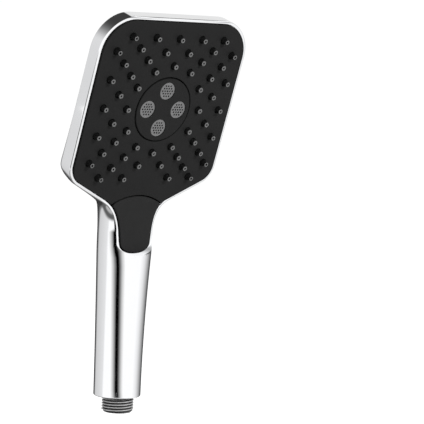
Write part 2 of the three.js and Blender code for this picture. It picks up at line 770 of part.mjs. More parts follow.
function sprayChamber() {
  const outer = slab(roundedSquare(CHAMBER_HALF, CHAMBER_CORNER), CHAMBER_BACK, CHAMBER_FRONT);
  const room = roundedSquare(CHAMBER_HALF - CHAMBER_WALL, CHAMBER_CORNER - CHAMBER_WALL);
  const inner = slab(room, CHAMBER_BACK + CHAMBER_FLOOR, 0);
  const divider = ring(21.2, 24, CHAMBER_BACK + 0.5, CHAMBER_FRONT - 1 - GAP, 32);
  const ends = { [-1]: -24, [1]: -14 };
  const spouts = [-1, 1].map((side) => {
    const back = SPOUT.w - SPOUT.half;
    return spout(side, ends[side], SPOUT.half, back, CHAMBER_BACK + 0.5);
  });
  const bores = [-1, 1].map((side) => spoutBore(side, ends[side]));
  const holes = chamberScrewPlaces().map(([u, v]) => rod(1.5, -12, -5, 12).translate([u, v, 0]));
  return cut(joined(cut(outer, inner), divider, ...spouts), ...bores, ...holes);
}

function chamberScrew([u, v]) {
  const top = CHAMBER_BACK + CHAMBER_FLOOR + GAP;
  return joined(rod(1.1, -12.3, top + 0.2, 12), rod(2.8, top, top + 1.8, 12)).translate([u, v, 0]);
}

// Materials and assembly

function material(color, roughness, metalness) {
  return new THREE.MeshStandardMaterial({ color, roughness, metalness });
}

const CHROME = material(0xd9dcdf, 0.06, 1);
const STEEL = material(0xb5b7b8, 0.35, 1);
const SPRING_STEEL = material(0x9da0a3, 0.3, 1);
const SATIN_BLACK = material(0x262729, 0.5, 0);
const BUTTON_BLACK = material(0x2c2c2e, 0.42, 0);
const SILICONE = material(0x3a3b3d, 0.75, 0);
const INLET_GREY = material(0x8f9193, 0.55, 0);
const WHITE_PLASTIC = material(0xdcdcd6, 0.55, 0);
const GREY_PLASTIC = material(0x77797b, 0.5, 0);
const RUBBER = material(0x1b1b1c, 0.85, 0);

const showerHead = new THREE.Group();
const neck = new THREE.Group();
const head = new THREE.Group();
neck.applyMatrix4(NECK_FRAME);
head.applyMatrix4(HEAD_FRAME);
showerHead.add(neck, head);

function add(group, name, made, look) {
  const mesh = new THREE.Mesh(geometryOf(made), look);
  mesh.name = name;
  group.add(mesh);
}

add(showerHead, "chrome_body", chromeBody(), CHROME);
add(showerHead, "inlet_nipple", inletNipple(), INLET_GREY);
add(showerHead, "nipple_o_ring", nippleORing(), RUBBER);
add(showerHead, "inlet_strainer", inletStrainer(), STEEL);
add(showerHead, "flow_regulator", flowRegulator(), GREY_PLASTIC);
add(showerHead, "tube_seal_lower", ring(TUBE_RADIUS + 0.4, 6.9, 17.3, 19.3), RUBBER);
add(showerHead, "water_tube", waterTube(), WHITE_PLASTIC);
add(neck, "tube_seal_upper", tubeSeal(), RUBBER);
add(neck, "valve_body", valveBody(), WHITE_PLASTIC);
add(neck, "valve_cap", valveCap(), GREY_PLASTIC);
add(neck, "selector_rotor", selectorRotor(), GREY_PLASTIC);
add(neck, "ratchet_wheel", ratchetWheel(), WHITE_PLASTIC);
add(showerHead, "riser_outer_spray", riser(-1), WHITE_PLASTIC);
add(showerHead, "riser_centre_spray", riser(1), WHITE_PLASTIC);
add(neck, "button_bracket", buttonBracket(), GREY_PLASTIC);
add(neck, "bracket_screw_left", bracketScrew(-1), STEEL);
add(neck, "bracket_screw_right", bracketScrew(1), STEEL);
add(neck, "plunger", plunger(), WHITE_PLASTIC);
add(neck, "button_spring", buttonSpring(), SPRING_STEEL);
add(neck, "button_pin", buttonPin(), STEEL);
add(neck, "button", button(), BUTTON_BLACK);
add(head, "spray_chamber", sprayChamber(), WHITE_PLASTIC);
add(head, "disc_seal", discSeal(), RUBBER);
add(head, "nozzle_mat", nozzleMat(), SILICONE);
add(head, "face_plate", facePlate(), SATIN_BLACK);
add(head, "centre_disc", centreDisc(), SATIN_BLACK);
meshPlaces().forEach((place, i) => add(head, `spray_mesh_${i + 1}`, sprayMesh(place), STEEL));
chamberScrewPlaces().forEach((place, i) => add(head, `chamber_screw_${i + 1}`, chamberScrew(place), STEEL));

export default showerHead;
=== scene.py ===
"""Handheld shower head: chrome handle and head shell, black spray face, push button in the neck.

Lengths are millimetres in the part's own frame, and MM turns them into metres. The head frame's axes
are u across the spray face, v up it and w out of it. The neck frame has u and v too, with v measured
straight down from the bend, and its third axis is the height in front of y = 0.
"""

import math

import bmesh
import bpy
import numpy as np
from mathutils import Matrix, Vector


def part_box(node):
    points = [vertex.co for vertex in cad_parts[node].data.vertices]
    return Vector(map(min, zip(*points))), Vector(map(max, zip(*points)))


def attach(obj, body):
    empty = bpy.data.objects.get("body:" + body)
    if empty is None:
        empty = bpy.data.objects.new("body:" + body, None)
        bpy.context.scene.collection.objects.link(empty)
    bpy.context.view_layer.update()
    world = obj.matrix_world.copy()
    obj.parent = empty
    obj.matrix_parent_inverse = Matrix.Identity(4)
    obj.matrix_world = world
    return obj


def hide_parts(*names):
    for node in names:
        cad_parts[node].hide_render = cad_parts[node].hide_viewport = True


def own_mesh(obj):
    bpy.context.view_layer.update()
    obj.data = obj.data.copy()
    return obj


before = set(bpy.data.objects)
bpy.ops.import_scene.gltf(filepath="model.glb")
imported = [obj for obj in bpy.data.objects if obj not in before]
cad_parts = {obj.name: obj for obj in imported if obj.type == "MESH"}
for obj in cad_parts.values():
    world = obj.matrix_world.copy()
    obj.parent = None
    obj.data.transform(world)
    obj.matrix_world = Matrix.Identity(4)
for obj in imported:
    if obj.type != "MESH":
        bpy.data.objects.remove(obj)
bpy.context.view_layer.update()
MM = 0.001


def box_mm(node):
    """Lowest and highest corner of a CAD node, in millimetres."""
    low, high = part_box(node)
    return np.array(low) / MM, np.array(high) / MM


def centre_mm(node):
    low, high = box_mm(node)
    return (low + high) / 2


# Sizes shared with the CAD, read from its nodes
MESHES = ["spray_mesh_1", "spray_mesh_2", "spray_mesh_3", "spray_mesh_4"]
MESH_CENTRES = [centre_mm(name) for name in MESHES]
MESH_MIDDLE_W = 2.15
UP_THE_FACE = MESH_CENTRES[1] - MESH_CENTRES[3]
MESH_OFFSET = np.linalg.norm(UP_THE_FACE) / 2
FACE_UP = UP_THE_FACE / np.linalg.norm(UP_THE_FACE)
FACE_OUT = np.cross([1, 0, 0], FACE_UP)
TILT = math.atan2(-FACE_UP[1], FACE_UP[2])
HEAD_CENTRE = np.mean(MESH_CENTRES, axis=0) - FACE_OUT * MESH_MIDDLE_W

GAP = 0.3
BODY_LOW, BODY_HIGH = box_mm("chrome_body")
HANDLE_BOTTOM = BODY_LOW[2]
FACE_HALF = box_mm("face_plate")[1][0] + GAP
RIM = BODY_HIGH[0] - FACE_HALF
PIN_CENTRE = centre_mm("button_pin")

# Shape of the body
WALL = 2.1
HANDLE_RADIUS = 15.4
HANDLE_GROWTH = 2.5
HANDLE_GROWN_AT = 106
HANDLE_BACK = 16.4
HANDLE_BACK_RISE = 1.1
BEND_V = -63.9
BEND = HEAD_CENTRE + FACE_UP * BEND_V
NECK_FACE = -BEND[1]
BEND_Z = BEND[2]
FLAT_STARTS_V = -90.6
TIP_V = -98.1
CORNER_RADIUS = 22
CHIN_RADIUS = 12.8
CHIN_V = -39.4
JAW_TURN = math.radians(63.4)
SIDE_WALL = 9
DOME = 7.5
TOP_V = FACE_HALF + RIM
EDGE_ROUND = 0.9
EDGE_ROUND_GROWTH = 8
LEAST_ROUND = 0.02
BOTTOM_ROUND = 0.8
RIM_FLAT = 0.4
TIP_RIM = 1.1
SIDE_PART = 0.25
FLARE_POWER = 5
# How far the room inside reaches out through the head's open front
HOLLOW_REACH = 3.0

# Heights over which the round handle turns into the flat head
SPINE_BLEND = (BEND_V - 5, BEND_V + 70)
SECTION_BLEND = (BEND_V - 10, BEND_V + 22)
LEAN_BLEND = (BEND_V - 12, BEND_V + 12)
RIM_BLEND = (-80, BEND_V + 8)

# ---------------------------------------------------------------- outlines


def arc(centre, radius, start, end, steps):
    """Points of a circular arc; angles in radians."""
    turn = np.linspace(start, end, steps)
    return np.array(centre) + radius * np.c_[np.cos(turn), np.sin(turn)]


def bezier(a, b, c, d, steps):
    """Points of a cubic curve from a to d, pulled towards b and c."""
    t = np.linspace(0, 1, steps)[:, None]
    a, b, c, d = (np.array(p, float) for p in (a, b, c, d))
    return (1 - t) ** 3 * a + 3 * (1 - t) ** 2 * t * b + 3 * (1 - t) * t**2 * c + t**3 * d


def face_outline(detail=24):
    """Right half of the black face's outline, unfolded at the bend, from the top to the button's tip."""
    corner = FACE_HALF - CORNER_RADIUS
    parts = [
        [[0, FACE_HALF]],
        arc((corner, corner), CORNER_RADIUS, math.pi / 2, 0, detail),
        arc((FACE_HALF - CHIN_RADIUS, CHIN_V), CHIN_RADIUS, 0, -JAW_TURN, detail),
        bezier((25, -63.6), (17.5, -67.4), (14.3, -75), (13.3, -85), detail),
        bezier((12.6, -91), (12.2, -96.5), (6, TIP_V), (0, TIP_V), detail),
    ]
    return np.vstack(parts)


def refined(points, step):
    """The polyline with extra points where its stretches are longer than `step`."""
    out = [points[0]]
    for a, b in zip(points[:-1], points[1:]):
        count = max(1, int(np.ceil(np.linalg.norm(b - a) / step)))
        out += [a + (b - a) * k / count for k in range(1, count + 1)]
    return np.array(out)


OUTLINE = refined(face_outline(), 1.0)


def outline(out):
    """The half outline moved outwards."""
    along = np.gradient(OUTLINE, axis=0)
    along[0] = (1, 0)
    along[-1] = (-1, 0)
    along /= np.linalg.norm(along, axis=1)[:, None]
    return OUTLINE + out * np.c_[-along[:, 1], along[:, 0]]


def half_width(v, out):
    """Half-width of the outline, moved outwards by `out`, at height v."""
    points = outline(out)
    return float(np.interp(v, points[::-1, 1], points[::-1, 0]))


def half_above(low, out):
    """The part of the half outline above a height."""
    points = outline(out)
    kept = points[points[:, 1] > low]
    return np.vstack([kept, [[half_width(low, out), low]]])


def half_below(high, out):
    """The part of the half outline below a height."""
    points = outline(out)
    kept = points[points[:, 1] < high]
    return np.vstack([[[half_width(high, out), high]], kept])


def closed(half):
    """A closed loop, clockwise, from its right half taken from the top down."""
    left = half[::-1] * (-1, 1)
    left = left[np.abs(left[:, 0]) > 1e-6]
    return np.vstack([half, left])


def full_turn(count):
    """Angles of equal steps right round."""
    return np.arange(count) * 2 * math.pi / count


def circle(centre, radius, count):
    """A clockwise circle."""
    turn = -full_turn(count)
    return np.array(centre) + radius * np.c_[np.cos(turn), np.sin(turn)]


def at_height(loop, height):
    """A flat loop as points at one height."""
    return np.c_[loop, np.full(len(loop), height)]


def moved_out(loop, out):
    """A clockwise loop moved outwards."""
    along = np.roll(loop, -1, axis=0) - np.roll(loop, 1, axis=0)
    along /= np.linalg.norm(along, axis=1)[:, None]
    return loop + out * np.c_[-along[:, 1], along[:, 0]]


def smooth(x, low, high):
    """0 below `low`, 1 above `high`, eased between them."""
    t = np.clip((x - low) / (high - low), 0, 1)
    return t * t * (3 - 2 * t)


# ---------------------------------------------------------------- meshes

MERGE = 0.002


def in_head(points):
    """Points with columns u, v, w, in the part's frame."""
    u, v, w = np.hsplit(np.asarray(points, float), 3)
    return HEAD_CENTRE + u * [1, 0, 0] + v * FACE_UP + w * FACE_OUT


def in_neck(points):
    """Points with columns u, v and height in front of y = 0, in the part's frame."""
    points = np.asarray(points, float)
    return np.c_[points[:, 0], -points[:, 2], points[:, 1] - BEND_V + BEND_Z]


def lofted(rings, close_ends=True):
    """Vertices and faces of a closed skin through rings of the same number of points."""
    rings = np.asarray(rings, float)
    rows, columns = rings.shape[:2]
    index = np.arange(rows * columns).reshape(rows, columns)
    after = np.roll(index, -1, axis=1)
    faces = np.stack([index[:-1], after[:-1], after[1:], index[1:]], axis=-1).reshape(-1, 4).tolist()
    if close_ends:
        faces += [index[0][::-1].tolist(), index[-1].tolist()]
    return rings.reshape(-1, 3), faces


def joined(*solids):
    """The vertices and faces of several solids as one."""
    verts, faces = [], []
    for points, polygons in solids:
        start = sum(len(v) for v in verts)
        verts.append(np.asarray(points, float))
        faces += [[i + start for i in face] for face in polygons]
    return np.vstack(verts), faces


def turned(profile, segments, closed_profile=True):
    """A piece turned round local w from (radius, height) points; a hollow one's profile is a loop."""
    profile = np.array(profile, float)
    turn = full_turn(segments)
    rings = [at_height(radius * np.c_[np.cos(turn), np.sin(turn)], height) for radius, height in profile]
    if closed_profile:
        rings.append(rings[0])
        return lofted(rings, close_ends=False)
    return lofted(rings)


def mesh_object(name, solid, sharp=35):
    """An object from vertices and faces, with its doubled points merged."""
    points, faces = solid
    mesh = bpy.data.meshes.new(name)
    mesh.from_pydata((np.asarray(points) * MM).tolist(), [], faces)
    work = bmesh.new()
    work.from_mesh(mesh)
    bmesh.ops.remove_doubles(work, verts=work.verts, dist=MERGE * MM)
    bmesh.ops.dissolve_degenerate(work, edges=work.edges, dist=MERGE * MM)
    bmesh.ops.recalc_face_normals(work, faces=work.faces)
    work.to_mesh(mesh)
    work.free()
    obj = bpy.data.objects.new(name, mesh)
    bpy.context.scene.collection.objects.link(obj)
    smooth_shaded(obj, sharp)
    return obj


def smooth_shaded(obj, sharp):
    """Smooth shading, but for the edges that turn by more than `sharp` degrees."""
    mesh = obj.data
    mesh.polygons.foreach_set("use_smooth", [True] * len(mesh.polygons))
    mesh.set_sharp_from_angle(angle=math.radians(sharp))


def combined(obj, operation, *tools):
    """Joins the tools to the object or takes them off it, and deletes them."""
    for tool in tools:
        modifier = obj.modifiers.new("tool", "BOOLEAN")
        modifier.operation = operation
        modifier.solver = "MANIFOLD"
        modifier.object = tool
        graph = bpy.context.evaluated_depsgraph_get()
        made = bpy.data.meshes.new_from_object(obj.evaluated_get(graph))
        obj.modifiers.clear()
        obj.data = made
        bpy.data.objects.remove(tool)


def cut_away(obj, *tools):
    combined(obj, "DIFFERENCE", *tools)


def weighted(obj):
    """Keeps the shading of large faces flat up to their rounded edges."""
    modifier = obj.modifiers.new("weighted normals", "WEIGHTED_NORMAL")
    modifier.keep_sharp = True
    modifier.weight = 80


def placed(obj, body, slot, material, *nodes):
    """Gives a piece its material and says which nodes it replaces and which body it rides."""
    obj.data.materials.clear()
    obj.data.materials.append(material)
    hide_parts(*nodes)
    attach(obj, body)
    return obj


# ---------------------------------------------------------------- chrome body


def handle_section(z):
    """Radius of the round handle at height z, and how far its centre lies behind y = 0."""
    grown = min(z / HANDLE_GROWN_AT, 1)
    radius = HANDLE_RADIUS + HANDLE_GROWTH * grown**2
    return radius, HANDLE_BACK + HANDLE_BACK_RISE * grown - radius


def back_depth(v):
    """Depth of the body behind its front line, at height v."""
    radius, centre_y = handle_section(BEND_Z)
    handle = NECK_FACE + centre_y + radius
    above = math.sqrt(max(0, 1 - (max(v, 0) / TOP_V) ** 2))
    spine = 1 - smooth(v, *SPINE_BLEND)
    return SIDE_WALL + DOME * above + (handle - SIDE_WALL - DOME) * spine


def rim_width(v):
    """Width of the rim outside the face, narrow round the button's tongue."""
    return TIP_RIM + (RIM - TIP_RIM) * smooth(v, *RIM_BLEND)


def back_curve(v, t, inset):
    """The section's right side, from the front edge at t 0 round to the back at t 1."""
    z = v - BEND_V + BEND_Z
    radius, centre_y = handle_section(z)
    middle = NECK_FACE + centre_y
    start = math.acos(middle / radius)
    bar_radius = radius - inset
    bar_edge = bar_radius * math.sin(start)
    edge = bar_edge if v < FLAT_STARTS_V else max(bar_edge, half_width(v, rim_width(v) - inset))
    turn = start + (math.pi - start) * t
    flare = (edge - bar_edge) * (1 - t**2) ** FLARE_POWER
    bar = np.c_[bar_radius * np.sin(turn) + flare, middle - bar_radius * np.cos(turn)]
    depth = back_depth(v) - inset
    wall = min(SIDE_WALL, depth) - inset / 2
    over = np.clip((t - SIDE_PART) / (1 - SIDE_PART), 0, 1) * math.pi / 2
    rising = wall * np.clip(t / SIDE_PART, 0, 1)
    head = np.c_[edge * np.cos(over), rising + (depth - wall) * np.sin(over)]
    share = smooth(v, *SECTION_BLEND)
    return bar * (1 - share) + head * share, edge


def front_depth(u, v, inset):
    """Depth of the front from its centre to the edge: a bulge on the handle, flat above the slot."""
    z = v - BEND_V + BEND_Z
    radius, centre_y = handle_section(z)
    middle = NECK_FACE + centre_y
    bulge = middle - np.sqrt(np.maximum((radius - inset) ** 2 - u**2, 0))
    if inset:
        floor = np.full_like(u, -HOLLOW_REACH if v > BEND_V else WALL)
        return bulge if v < TIP_V - RIM - WALL else floor
    return np.zeros_like(u) if v > FLAT_STARTS_V else np.minimum(bulge, 0)


def body_ring(v, inset=0.0, front_count=34, back_count=44, sunk=0.0):
    """The closed section at height v as points (sideways, depth), from the front's centre round."""
    has_edge = v > FLAT_STARTS_V and not inset
    grown = smooth(v, FLAT_STARTS_V, FLAT_STARTS_V + EDGE_ROUND_GROWTH)
    full = min(EDGE_ROUND, rim_width(v) - RIM_FLAT) * grown
    rounding = max(full, LEAST_ROUND) if has_edge else LEAST_ROUND
    first_step = 0.01
    start, _ = back_curve(v, np.array([0, first_step]), inset)
    rounded_to = first_step * rounding / np.linalg.norm(start[1] - start[0])
    side, edge = back_curve(v, np.linspace(rounded_to, 1, back_count + 1), inset)
    inner = LEAST_ROUND
    if has_edge:
        inner = edge - half_width(min(v, TOP_V - EDGE_ROUND), rim_width(v) - rounding)
    u = np.linspace(0, edge - inner, front_count)
    front = np.c_[u, front_depth(u, v, inset)]
    corner = np.array([edge, front[-1, 1] if inset else 0.0])
    t = np.linspace(0, 1, 8)[1:-1, None]
    fillet = (1 - t) ** 2 * front[-1] + 2 * (1 - t) * t * corner + t**2 * side[0]
    half = np.vstack([front, fillet, side])
    if sunk:
        half[:, 1] = np.maximum(half[:, 1], sunk)
    mirror = half[1:-1][::-1] * (-1, 1)
    return np.vstack([half, mirror])


def body_points(v, ring):
    """A section's points in the part's frame; the sections fan round the bend."""
    lean = TILT * smooth(v, *LEAN_BLEND)
    up = max(v - BEND_V, 0)
    below = min(v - BEND_V, 0)
    return np.c_[
        ring[:, 0],
        -NECK_FACE - up * math.sin(TILT) + ring[:, 1] * math.cos(lean),
        BEND_Z + below + up * math.cos(TILT) + ring[:, 1] * math.sin(lean),
    ]


def to_v(z):
    """Unfolded height v of a height z on the handle or neck."""
    return z - BEND_Z + BEND_V


def body_skin():
    """The outer skin: the round handle with its lower edge rounded, the slot, the neck and the head."""
    rings = []
    for a in np.linspace(0, math.pi / 2, 5):
        z = HANDLE_BOTTOM + BOTTOM_ROUND * (1 - math.cos(a))
        ring = body_ring(to_v(z))
        centre = np.array([0, NECK_FACE + handle_section(z)[1]])
        shrink = 1 - BOTTOM_ROUND * (1 - math.sin(a)) / HANDLE_RADIUS
        rings.append(body_points(to_v(z), centre + (ring - centre) * shrink))
    corner = TOP_V - CORNER_RADIUS - RIM
    stations = [
        np.linspace(to_v(HANDLE_BOTTOM + 6), FLAT_STARTS_V - 0.005, 20),
        np.arange(FLAT_STARTS_V + 0.005, -40, 0.9),
        np.linspace(-39.5, corner, 34),
        corner + (CORNER_RADIUS + RIM) * np.sin(np.linspace(0, math.pi / 2, 26))[1:],
    ]
    stations = np.concatenate(stations)
    for v in stations[stations < TOP_V - EDGE_ROUND]:
        rings.append(body_points(v, body_ring(v)))
    for a in np.linspace(0, math.pi / 2, 6):
        v = TOP_V - EDGE_ROUND * (1 - math.sin(a))
        sunk = EDGE_ROUND * (1 - math.cos(a))
        rings.append(body_points(v, body_ring(v, sunk=sunk)))
    return lofted(rings)


def body_hollow():
    """The room inside the handle, neck and head."""
    corner = TOP_V - CORNER_RADIUS - RIM
    floor_v = TIP_V - RIM - WALL
    stations = [
        [to_v(HANDLE_BOTTOM - 4)],
        np.linspace(to_v(HANDLE_BOTTOM + 10), floor_v - 0.05, 8),
        np.linspace(floor_v + 0.05, BEND_V - 0.05, 16),
        np.linspace(BEND_V + 0.05, corner, 30),
        corner + CORNER_RADIUS * np.sin(np.linspace(0, math.pi / 2, 12))[1:],
    ]
    rings = [body_points(v, body_ring(v, WALL, 10, 24)) for v in np.concatenate(stations)]
    return lofted(rings)


def cutter(loop, place, levels):
    """A straight tool with a flared mouth, from (outward move, height) levels."""
    return lofted([place(at_height(moved_out(loop, out), height)) for out, height in levels])


def mouth(top, low, rounding=0.3, steps=4):
    """Levels of a tool whose mouth is rounded over where it breaks through height `top`."""
    turn = np.linspace(0, math.pi / 2, steps)
    curve = [(rounding * (1 - math.sin(a)), top - rounding * (1 - math.cos(a))) for a in turn]
    return [(rounding, top + 2), *curve, (0, low)]


def rounded_square(half, radius, count=10):
    """A clockwise square loop with round corners."""
    side = half - radius
    quarters = [(side, side, 90), (side, -side, 0), (-side, -side, -90), (-side, side, -180)]
    return np.vstack(
        [arc((x, y), radius, math.radians(a), math.radians(a - 90), count) for x, y, a in quarters]
    )


SLOT_REACH = 12
RECESS_FLOOR = -2.6
POCKET_DEPTH = 5
CHAMBER_HALF = 54.8
CHAMBER_CORNER = 19.8
CHAMBER_TOP = -0.5
CHAMBER_FLOOR = -9.5
SCREW_PLACE = 30.5
SCREW_POST_RADIUS = 3.5
SCREW_HOLE_RADIUS = 1.4
SCREW_HOLE_FOOT = -12.7
# The back wall is deeper below the face's centre than above it
SCREW_POST_FEET = (-13.6, -19.2)


def screw_posts(radius, feet):
    """Round posts on the back wall for the spray chamber's screws, or the holes in them."""
    posts = []
    for up, foot in ((SCREW_PLACE, feet[0]), (-SCREW_PLACE, feet[1])):
        for across in (-SCREW_PLACE, SCREW_PLACE):
            levels = [(0, CHAMBER_FLOOR), (0, foot)]
            post = cutter(circle((across, up), radius, 24), in_head, levels)
            posts.append(mesh_object("post", post))
    return posts


def body_tools():
    """What is cut out of the body: its room inside, and the recesses for the plate and the button."""
    slot_half = half_below(FLAT_STARTS_V + 3, RIM)
    slot_half[:, 1] += (RIM - TIP_RIM) * (1 - smooth(slot_half[:, 1], TIP_V - RIM, FLAT_STARTS_V))
    recess = closed(half_above(BEND_V - 3, 0))
    pocket = closed(half_below(BEND_V - 1, 0))
    chamber = rounded_square(CHAMBER_HALF, CHAMBER_CORNER)
    solids = {
        "slot": cutter(closed(slot_half), in_neck, [(0, NECK_FACE + SLOT_REACH), (0, NECK_FACE)]),
        "hollow": body_hollow(),
        "plate_recess": cutter(recess, in_head, mouth(0, RECESS_FLOOR)),
        "button_pocket": cutter(pocket, in_neck, mouth(NECK_FACE, NECK_FACE - POCKET_DEPTH)),
        "chamber_pocket": cutter(chamber, in_head, [(0, CHAMBER_TOP), (0, CHAMBER_FLOOR)]),
    }
    return [mesh_object(name, solid) for name, solid in solids.items()]


def make_body():
    """The chrome handle, neck and head shell in one skin, cut out for what it holds."""
    body = mesh_object("chrome_shell", body_skin())
    cut_away(body, *body_tools())
    combined(body, "UNION", *screw_posts(SCREW_POST_RADIUS, SCREW_POST_FEET))
    cut_away(body, *screw_posts(SCREW_HOLE_RADIUS, (SCREW_HOLE_FOOT, SCREW_HOLE_FOOT)))
    smooth_shaded(body, 18)
    weighted(body)
    return placed(body, "handle", "chrome", chrome(), "chrome_body")


# ---------------------------------------------------------------- sheets and the spray face


def cut_sheet(loops, low, high, rounding=0.0):
    """A flat sheet between two heights; the first loop is its outline and the others are holes."""
    curve = bpy.data.curves.new("sheet", "CURVE")
    curve.dimensions = "2D"
    curve.fill_mode = "BOTH"
    curve.extrude = (high - low) / 2 - rounding
    curve.bevel_depth = rounding
    curve.bevel_resolution = 2
    curve.offset = -rounding
    for loop in loops:
        spline = curve.splines.new("POLY")
        spline.points.add(len(loop) - 1)
        flat = np.c_[loop, np.zeros(len(loop)), np.ones(len(loop))]
        spline.points.foreach_set("co", flat.ravel())
        spline.use_cyclic_u = True
    sheet = bpy.data.objects.new("sheet", curve)
    bpy.context.scene.collection.objects.link(sheet)
    graph = bpy.context.evaluated_depsgraph_get()
    mesh = bpy.data.meshes.new_from_object(sheet.evaluated_get(graph))
    points = np.array([vert.co[:] for vert in mesh.vertices]) + (0, 0, (low + high) / 2)
    faces = [list(polygon.vertices) for polygon in mesh.polygons]
    bpy.data.objects.remove(sheet)
    bpy.data.meshes.remove(mesh)
    return points, faces


def put(solid, place):
    """A solid whose points are laid out by one of the frames."""
    points, faces = solid
    return place(points), faces


def moved(solid, offset):
    """A solid shifted by an offset."""
    points, faces = solid
    return np.asarray(points) + offset, faces


ARC_TOP_V = -60
ARC_END_U, ARC_END_V = 20, -65.8
# Heights safely past the arc, where the plate's and the button's outlines are first cut
BELOW_ARC_V = -75
ABOVE_ARC_V = -62
PLATE_CLEAR = 0.3
PLATE_FRONT = 1.2
PLATE_BACK = -1.3
PLATE_ROUND = 0.4
PLATE_DOME = 2.0
TIP_DOME = 0.45
DISC_RADIUS = 21.2
DISC_CLEAR = 0.6


def arc_circle():
    """Radius and centre height of the arc between the face plate and the button."""
    drop = ARC_TOP_V - ARC_END_V
    radius = (ARC_END_U**2 + drop**2) / (2 * drop)
    return radius, ARC_TOP_V - radius


def arc_height(u, radius):
    """Height of a concentric arc at a distance to the side."""
    return arc_circle()[1] + np.sqrt(np.maximum(radius**2 - np.asarray(u) ** 2, 0))


def domed(points, rise):
    """Points lifted by a crown over the spray face."""
    points = np.asarray(points, float)
    spread = 1 - np.hypot(points[:, 0], points[:, 1]) ** 2 / FACE_HALF**2
    return points + np.c_[np.zeros((len(points), 2)), rise * np.clip(spread, 0, 1)]


def on_plate(points):
    return in_head(domed(points, PLATE_DOME))


def on_face(points):
    return in_head(domed(points, TIP_DOME))


ROUND_TURNS = np.linspace(0, math.pi / 2, 6)


def rounded_side(loop, low, high, rounding):
    """Rings of points up a plate's side and over its rounded top edge."""
    rings = [at_height(loop, low)]
    for a in ROUND_TURNS:
        inside = moved_out(loop, rounding * (math.cos(a) - 1))
        rings.append(at_height(inside, high - rounding * (1 - math.sin(a))))
    return rings


def crowned(loop, centre, low, high, rounding, crown, rings=26):
    """A solid plate over a loop: flat underneath, rounded at its edge and crowned in the middle."""
    layers = rounded_side(loop, low, high, rounding)
    rim = moved_out(loop, -rounding)
    for share in np.linspace(0, 1, rings + 1)[1:-1]:
        layers.append(at_height(rim + (np.array(centre) - rim) * share, high + crown(share)))
    points, faces = lofted(np.array(layers), close_ends=False)
    count = len(loop)
    top = len(points)
    points = np.vstack([points, [[*centre, high + crown(1)]], [[*centre, low]]])
    last = (len(layers) - 1) * count
    for k in range(count):
        after = (k + 1) % count
        faces.append([last + k, last + after, top])
        faces.append([after, k, top + 1])
    return points, faces


def framed(loop, hole_radius, low, high, rounding, rings=14):
    """A plate over a loop, with a round hole in its middle and both edges of its top rounded."""
    layers = rounded_side(loop, low, high, rounding)
    rim = moved_out(loop, -rounding)
    unit = rim / np.linalg.norm(rim, axis=1)[:, None]
    mouth_ring = unit * (hole_radius + rounding)
    for share in np.linspace(0, 1, rings + 1)[1:]:
        layers.append(at_height(rim + (mouth_ring - rim) * share, high))
    for a in ROUND_TURNS[::-1][1:]:
        ring = unit * (hole_radius + rounding * (1 - math.cos(a)))
        layers.append(at_height(ring, high - rounding * (1 - math.sin(a))))
    layers.append(at_height(unit * hole_radius, low))
    layers.append(layers[0])
    return lofted(np.array(layers), close_ends=False)


SIDE_NOZZLES = [
    (18.69, 47.06),
    (37.21, 47.06),
    (9.3, 38.09),
    (29.63, 39.91),
    (0, 29.34),
    (21.97, 32.51),
    (14.49, 25.3),
]
SIDE_MIDDLE = (0, 47.06)
NOZZLE_HOLE = 2.4


def nozzle_places():
    """The 55 nozzles: one pattern, mirrored and turned round the four sides."""
    places = []
    for quarter in range(4):
        c, s = round(math.cos(quarter * math.pi / 2)), round(math.sin(quarter * math.pi / 2))
        side = [(x, out) for x, out in SIDE_NOZZLES]
        side += [(-x, out) for x, out in SIDE_NOZZLES if x]
        if quarter != 2:
            side.append(SIDE_MIDDLE)
        places += [(x * c - out * s, x * s + out * c) for x, out in side]
    return places


def plate_loop():
    """Outline of the face plate: the face's outline above, the arc over the button below."""
    radius, _ = arc_circle()
    radius += PLATE_CLEAR
    half = half_above(BELOW_ARC_V, -GAP)
    half = half[half[:, 1] > arc_height(half[:, 0], radius) + 0.2]
    end = half[-1][0]
    u = np.linspace(end, 0, 24)[1:]
    return closed(np.vstack([half, np.c_[u, arc_height(u, radius)]]))


def make_face_plate():
    """The domed plate, with a rounded hole round each nozzle."""
    blank = framed(plate_loop(), DISC_RADIUS + DISC_CLEAR, PLATE_BACK, PLATE_FRONT, PLATE_ROUND)
    plate = mesh_object("spray_face_plate", put(blank, on_plate), sharp=40)
    below_plate = -4
    flared = [(NOZZLE_HOLE + out, height) for out, height in mouth(PLATE_FRONT, below_plate)[::-1]]
    hole = turned(flared, 28, False)
    holes = joined(*[moved(hole, (u, v, 0)) for u, v in nozzle_places()])
    cut_away(plate, mesh_object("holes", put(holes, on_plate)))
    smooth_shaded(plate, 40)
    weighted(plate)
    return placed(plate, "handle", "satin_black", satin_black(), "face_plate")


MAT_HALF = 52.5
MAT_CORNER = 20
MAT_FRONT = -1.6
MAT_BACK = -2.8
MAT_ROUND = 0.2
MAT_MIDDLE_RADIUS = 24.3
MAT_HOLE_RADIUS = 1.8
NOZZLE_FRONT = 5.2


def nozzle():
    """One silicone nozzle: a cone with a soft lip round its jet hole."""
    return turned(
        [
            (0.55, MAT_BACK + 0.1),
            (2.1, MAT_BACK + 0.1),
            (2.1, MAT_FRONT),
            (2.04, 0.6),
            (1.94, 2.2),
            (1.8, 3.6),
            (1.7, 4.5),
            (1.64, 4.9),
            (1.52, 5.12),
            (1.38, NOZZLE_FRONT),
            (0.82, NOZZLE_FRONT - 0.02),
            (0.66, NOZZLE_FRONT - 0.12),
            (0.58, NOZZLE_FRONT - 0.6),
        ],
        28,
    )


